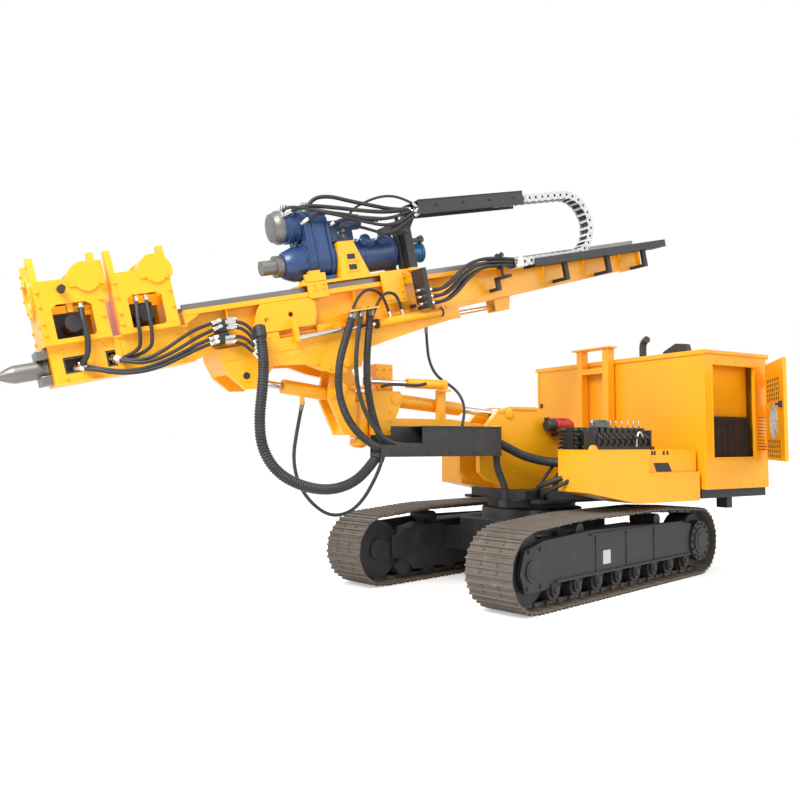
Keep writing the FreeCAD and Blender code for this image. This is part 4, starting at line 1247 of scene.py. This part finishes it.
def makeDoor():
    work = bmesh.new()
    holes = []
    for low, rows in ((1.735, 5), (1.190, 4)):
        for row in range(rows):
            for column in range(7):
                u, z = .085 + column * .078, low + row * .046
                holes.append(rectangle(u, u + .062, z, z + .032))
    holes.append(arc((.365, 1.545), .174, 0, 350, 35))
    addHoledPlate(work, rectangle(.022, .800, 1.165, 2.115), holes, -.014, .016)
    for low in (1.259, 1.579, 1.899):
        addBox(work, (0, -.012, low), (.030, .014, low + .060))
        addRod(work, (0, 0, low), (0, 0, low + .060), .014, 16)
    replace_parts(keepPiece("door_leaf", work, "door", "yellow_paint", doorFrame, 0.002), "side_door")
    work = bmesh.new()
    # Dark sheets inside the grille's holes are painted shade, so the holes read dark; the rest is the latch
    # and its handle
    addBox(work, (.075, -.010, 1.180), (.640, -.006, 1.370))
    addBox(work, (.075, -.010, 1.725), (.640, -.006, 1.965))
    addBox(work, (.700, -.040, 1.660), (.745, -.012, 1.720))
    addRod(work, (.722, -.060, 1.690), (.722, -.040, 1.690), .012, 12)
    addBox(work, (.690, -.064, 1.680), (.760, -.056, 1.700))
    keepPiece("door_shade_sheets_and_latch", work, "door", "dark_paint", doorFrame)
    work = bmesh.new()
    addRod(work, (.365, .004, 1.545), (.365, .008, 1.545), .172, 36)
    middle = Vector((.365, -.010, 1.545))
    for number in range(8):
        radius = .022 + number * .021
        ring = arc((.365, 1.545), radius + .004, 0, 352, 32)
        addHoledPlate(work, ring, [arc((.365, 1.545), radius - .004, 0, 352, 32)], -.010, -.004)
    for number in range(4):
        turn = number * math.pi / 4
        reach = Vector((math.cos(turn), 0, math.sin(turn))) * .168
        addRod(work, middle - reach, middle + reach, .004, 6)
    keepPiece("fan_guard", work, "door", "grey_plastic", doorFrame)
    print("housing and door dressed")


def makeConsole():
    work = bmesh.new()
    addPlate(work, arc((.280, 1.268), .046, 0, 180, 16), 1.128, 1.150)
    addBox(work, (-.400, 1.143, 1.262), (.350, 1.153, 1.274))
    addBox(work, (.343, .775, 1.262), (.353, 1.150, 1.274))
    addBolts(work, [(-.60, 1.150, 1.020), (-1.03, 1.150, 1.020), (-1.03, 1.150, .830)], (0, 1, 0), 0.009)
    keepPiece("console_trim", work, "upper", "yellow_paint", None, 0.002)
    work = bmesh.new()
    # Thin dark patches on the console's face: painted shade standing for its slots; then a dark four-sided
    # patch below them
    for x in (-.485, -.520, -.640, -.690):
        addBox(work, (x - .013, 1.1095, 1.222), (x + .013, 1.1125, 1.260))
    addPlate(work, [(-.500, 1.150), (-.700, 1.150), (-.745, 1.068), (-.540, 1.068)], 1.1095, 1.1125)
    keepPiece("console_slot_shade_and_patch", work, "upper", "dark_paint")
    # Valve bank: sections side by side with their levers
    work = bmesh.new()
    addBox(work, (-.640, .865, 1.270), (.120, 1.005, 1.300))
    for number in range(9):
        x = .078 - number * .074
        addBox(work, (x - .030, .880, 1.300), (x + .030, .995, 1.425))
        addBox(work, (x - .022, .900, 1.425), (x + .022, .980, 1.470))
        addRod(work, (x, .995, 1.345), (x, 1.016, 1.345), .020, 12)
        addFitting(work, (x, 1.006, 1.400), (0, 1, -.6), .010)
    for x in (.116, -.600):
        addBox(work, (x - .010, .870, 1.270), (x + .010, 1.000, 1.450))
    for number in range(4):
        x = .02 - number * .075
        addRod(work, (x, .86, 1.34), (x + .03, .79, 1.29), .018, 12)
    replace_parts(keepPiece("valve_sections", work, "upper", "dark_paint", None, 0.004), "valve_bank")
    work = bmesh.new()
    for number in range(9):
        x = .078 - number * .074
        addRod(work, (x, .935, 1.465), (x + .018, .945, 1.525), .0055, 8)
        addRod(work, (x + .018, .945, 1.515), (x + .022, .947, 1.535), .012, 12)
    addTube(work, [(-.385, 1.02, 1.300), (-.380, 1.03, 1.400), (-.430, 1.03, 1.450), (-.460, 1.03, 1.380)],
            .008, .01, 10)
    keepPiece("valve_levers", work, "upper", "bright_rod", None)
    work = bmesh.new()
    addBox(work, (-.080, .890, 1.470), (.080, .985, 1.520))
    addPlate(work, [(-.070, 1.520), (.070, 1.520), (.050, 1.540), (-.050, 1.540)], .895, .980)
    keepPiece("valve_cap", work, "upper", "dark_paint", None, 0.004, material="olive_paint")
    # Pump: a black motor with a red body behind it
    work = bmesh.new()
    addTurned(work, (.040, .270, 1.505), (-1, 0, 0), [
        (0, 0), (0, .046), (.015, .060), (.045, .064), (.050, .055), (.062, .055), (.066, .064), (.100, .064),
        (.100, 0),
    ], 28)
    addBox(work, (-.250, .190, 1.400), (-.100, .320, 1.450))
    addBox(work, (.000, .250, 1.555), (.045, .290, 1.580))
    addBox(work, (.345, .114, 1.450), (.516, .130, 1.500))
    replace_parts(keepPiece("pump_motor", work, "upper", "dark_paint", None, 0.003), "pump_unit")
    work = bmesh.new()
    addTurned(work, (-.060, .270, 1.505), (-1, 0, 0), [
        (0, 0), (0, .072), (.030, .072), (.034, .066), (.150, .066), (.155, .072), (.180, .072), (.190, .050),
        (.230, .045),
        (.230, 0),
    ], 28)
    addBox(work, (-.190, .225, 1.440), (-.080, .315, 1.575))
    keepPiece("pump_body", work, "upper", "dark_paint", None, 0.004, material="red_plastic")
    # Fittings on the hose manifold's outer and front faces
    work, ends = bmesh.new(), bmesh.new()
    for row in range(8):
        z = 1.175 + row * .040
        for x in (-.075, -.150, -.225):
            addRod(work, (x, .558, z), (x + .02, .600 - .02 * (row % 2), z), .017, 6)
            addRod(ends, (x + .018, .595 - .02 * (row % 2), z), (x + .045, .660 - .03 * (row % 2), z - .012),
                   .014, 10)
        addRod(work, (-.042, .455, z), (.010, .455, z), .017, 6)
        addRod(ends, (.010, .455, z), (.060, .475, z - .010), .014, 10)
    keepPiece("manifold_nuts", work, "upper", "grey_steel")
    keepPiece("manifold_ends", ends, "upper", "black_rubber")
    work = bmesh.new()
    for y in (-.190, .190):
        way = (0, math.copysign(1, y), 0)
        addPinCap(work, (.600, y, 1.430), way, .070, .050, .026, 24)
        addPinCap(work, (.430, y, 1.610), way, .050, .034, .020, 20)
        bolts = ((-.10, 1.50), (-.40, 1.28), (.10, 1.20), (.35, 1.05), (.62, 1.10))
        addBolts(work, [(x, y, z) for x, z in bolts], way, 0.012)
        low, high = sorted((y, y + way[1] * .010))
        addPlate(work, [(.10, 1.670), (.40, 1.670), (.55, 1.632), (.54, 1.612), (.395, 1.650), (.10, 1.650)],
                 low, high)
    keepPiece("bracket_trim", work, "upper", "yellow_paint", None, 0.002)
    print("console dressed")


# Boom: pins, flanges and bolts

def makeBoom():
    work = bmesh.new()
    for z, way in ((1.760, 1), (1.310, -1)):
        addPinCap(work, (1.950, 0, z), (0, 0, way), .062, .040, .020, 24)
    for y in (-.110, .110):
        way = (0, math.copysign(1, y), 0)
        addPinCap(work, (1.640, y, 1.720), way, .048, .030, .018, 20)
        addTurned(work, (.600, y, 1.430), way, [(0, 0), (0, .075), (.016, .075), (.016, 0)], 24)
        addBolts(work, [(1.70, y, z) for z in (1.37, 1.45, 1.53, 1.61)], way, 0.012)
        low, high = sorted((y, y + way[1] * .008))
        addPlate(work, [(.80, 1.370), (1.58, 1.370), (1.58, 1.400), (.80, 1.400)], low, high)
    for x in (1.66, 1.725, 1.79):
        addBolts(work, [(x, .055, z) for z in (1.82, 1.90, 1.98)], (0, 1, 0), 0.010)
    keepPiece("boom_trim", work, "boom", "yellow_paint", None, 0.002)
    work = bmesh.new()
    addBox(work, (.712, .430, 1.466), (1.563, .436, 1.480))
    addBox(work, (.712, .430, 1.216), (1.963, .436, 1.228))
    for x in (.76, 1.02, 1.28, 1.52):
        addBolts(work, [(x, .430, 1.442), (x, .430, 1.250)], (0, 1, 0), 0.009)
    for x in (.84, 1.40):
        addBolts(work, [(x + .015, .200, 1.440), (x + .045, .200, 1.440)], (0, 0, 1), 0.009)
    keepPiece("trough_trim", work, "boom", "dark_paint", None, 0.002)
    work = bmesh.new()
    for y in (-.110, .110):
        way = (0, math.copysign(1, y), 0)
        addPinCap(work, (2.250, y, 1.750), way, .044, .028, .018, 20, rise=.008)
        addBolts(work, [(2.20, y, z) for z in (1.84, 1.92)] + [(2.10, y, 1.55)], way, 0.011)
    keepPiece("swing_head_trim", work, "head", "yellow_paint", None, 0.002)
    work = bmesh.new()
    addTube(work, [(1.850, .226, 1.815), (1.800, .226, 1.838), (1.640, .222, 1.842), (1.460, .218, 1.836),
                   (1.380, .196, 1.862)], .014, .02, 12)
    addTube(work, [(1.560, .410, 1.300), (1.480, .400, 1.300), (1.300, .398, 1.290)], .014, .02, 12)
    keepPiece("swing_hose", work, "boom", "black_rubber")
    work = bmesh.new()
    for route, radius in (
        ([(.345, .820, 1.020), (.420, .760, .990), (.440, .640, .950), (.380, .520, .905),
          (.300, .440, .845)], .024),
        ([(.340, .900, 1.000), (.430, .860, .950), (.430, .720, .900), (.330, .560, .850),
          (.220, .460, .820)], .018),
        ([(.060, .480, 1.200), (.200, .500, 1.080), (.300, .480, .960), (.300, .420, .850)], .016),
    ):
        addTube(work, route, radius, .02, 12)
    keepPiece("ring_hoses", work, "upper", "black_rubber")
    print("boom dressed")


makeCamera()
makeLight()
makeFloor()
makeWear()
for slotName, values in finishes.items():
    made[slotName] = makeFinish(slotName, values)
dressNodes()
print("nodes dressed")
makeLooseHoses()
makeSmallHoses()
makeHoseGear()
print("hoses laid")
makeDragChain()
makeHead()
makeClamps()
makeBeam()
makeTracks()
makeHousing()
makeDoor()
makeConsole()
makeBoom()

bpy.context.scene.view_settings.view_transform = "Standard"
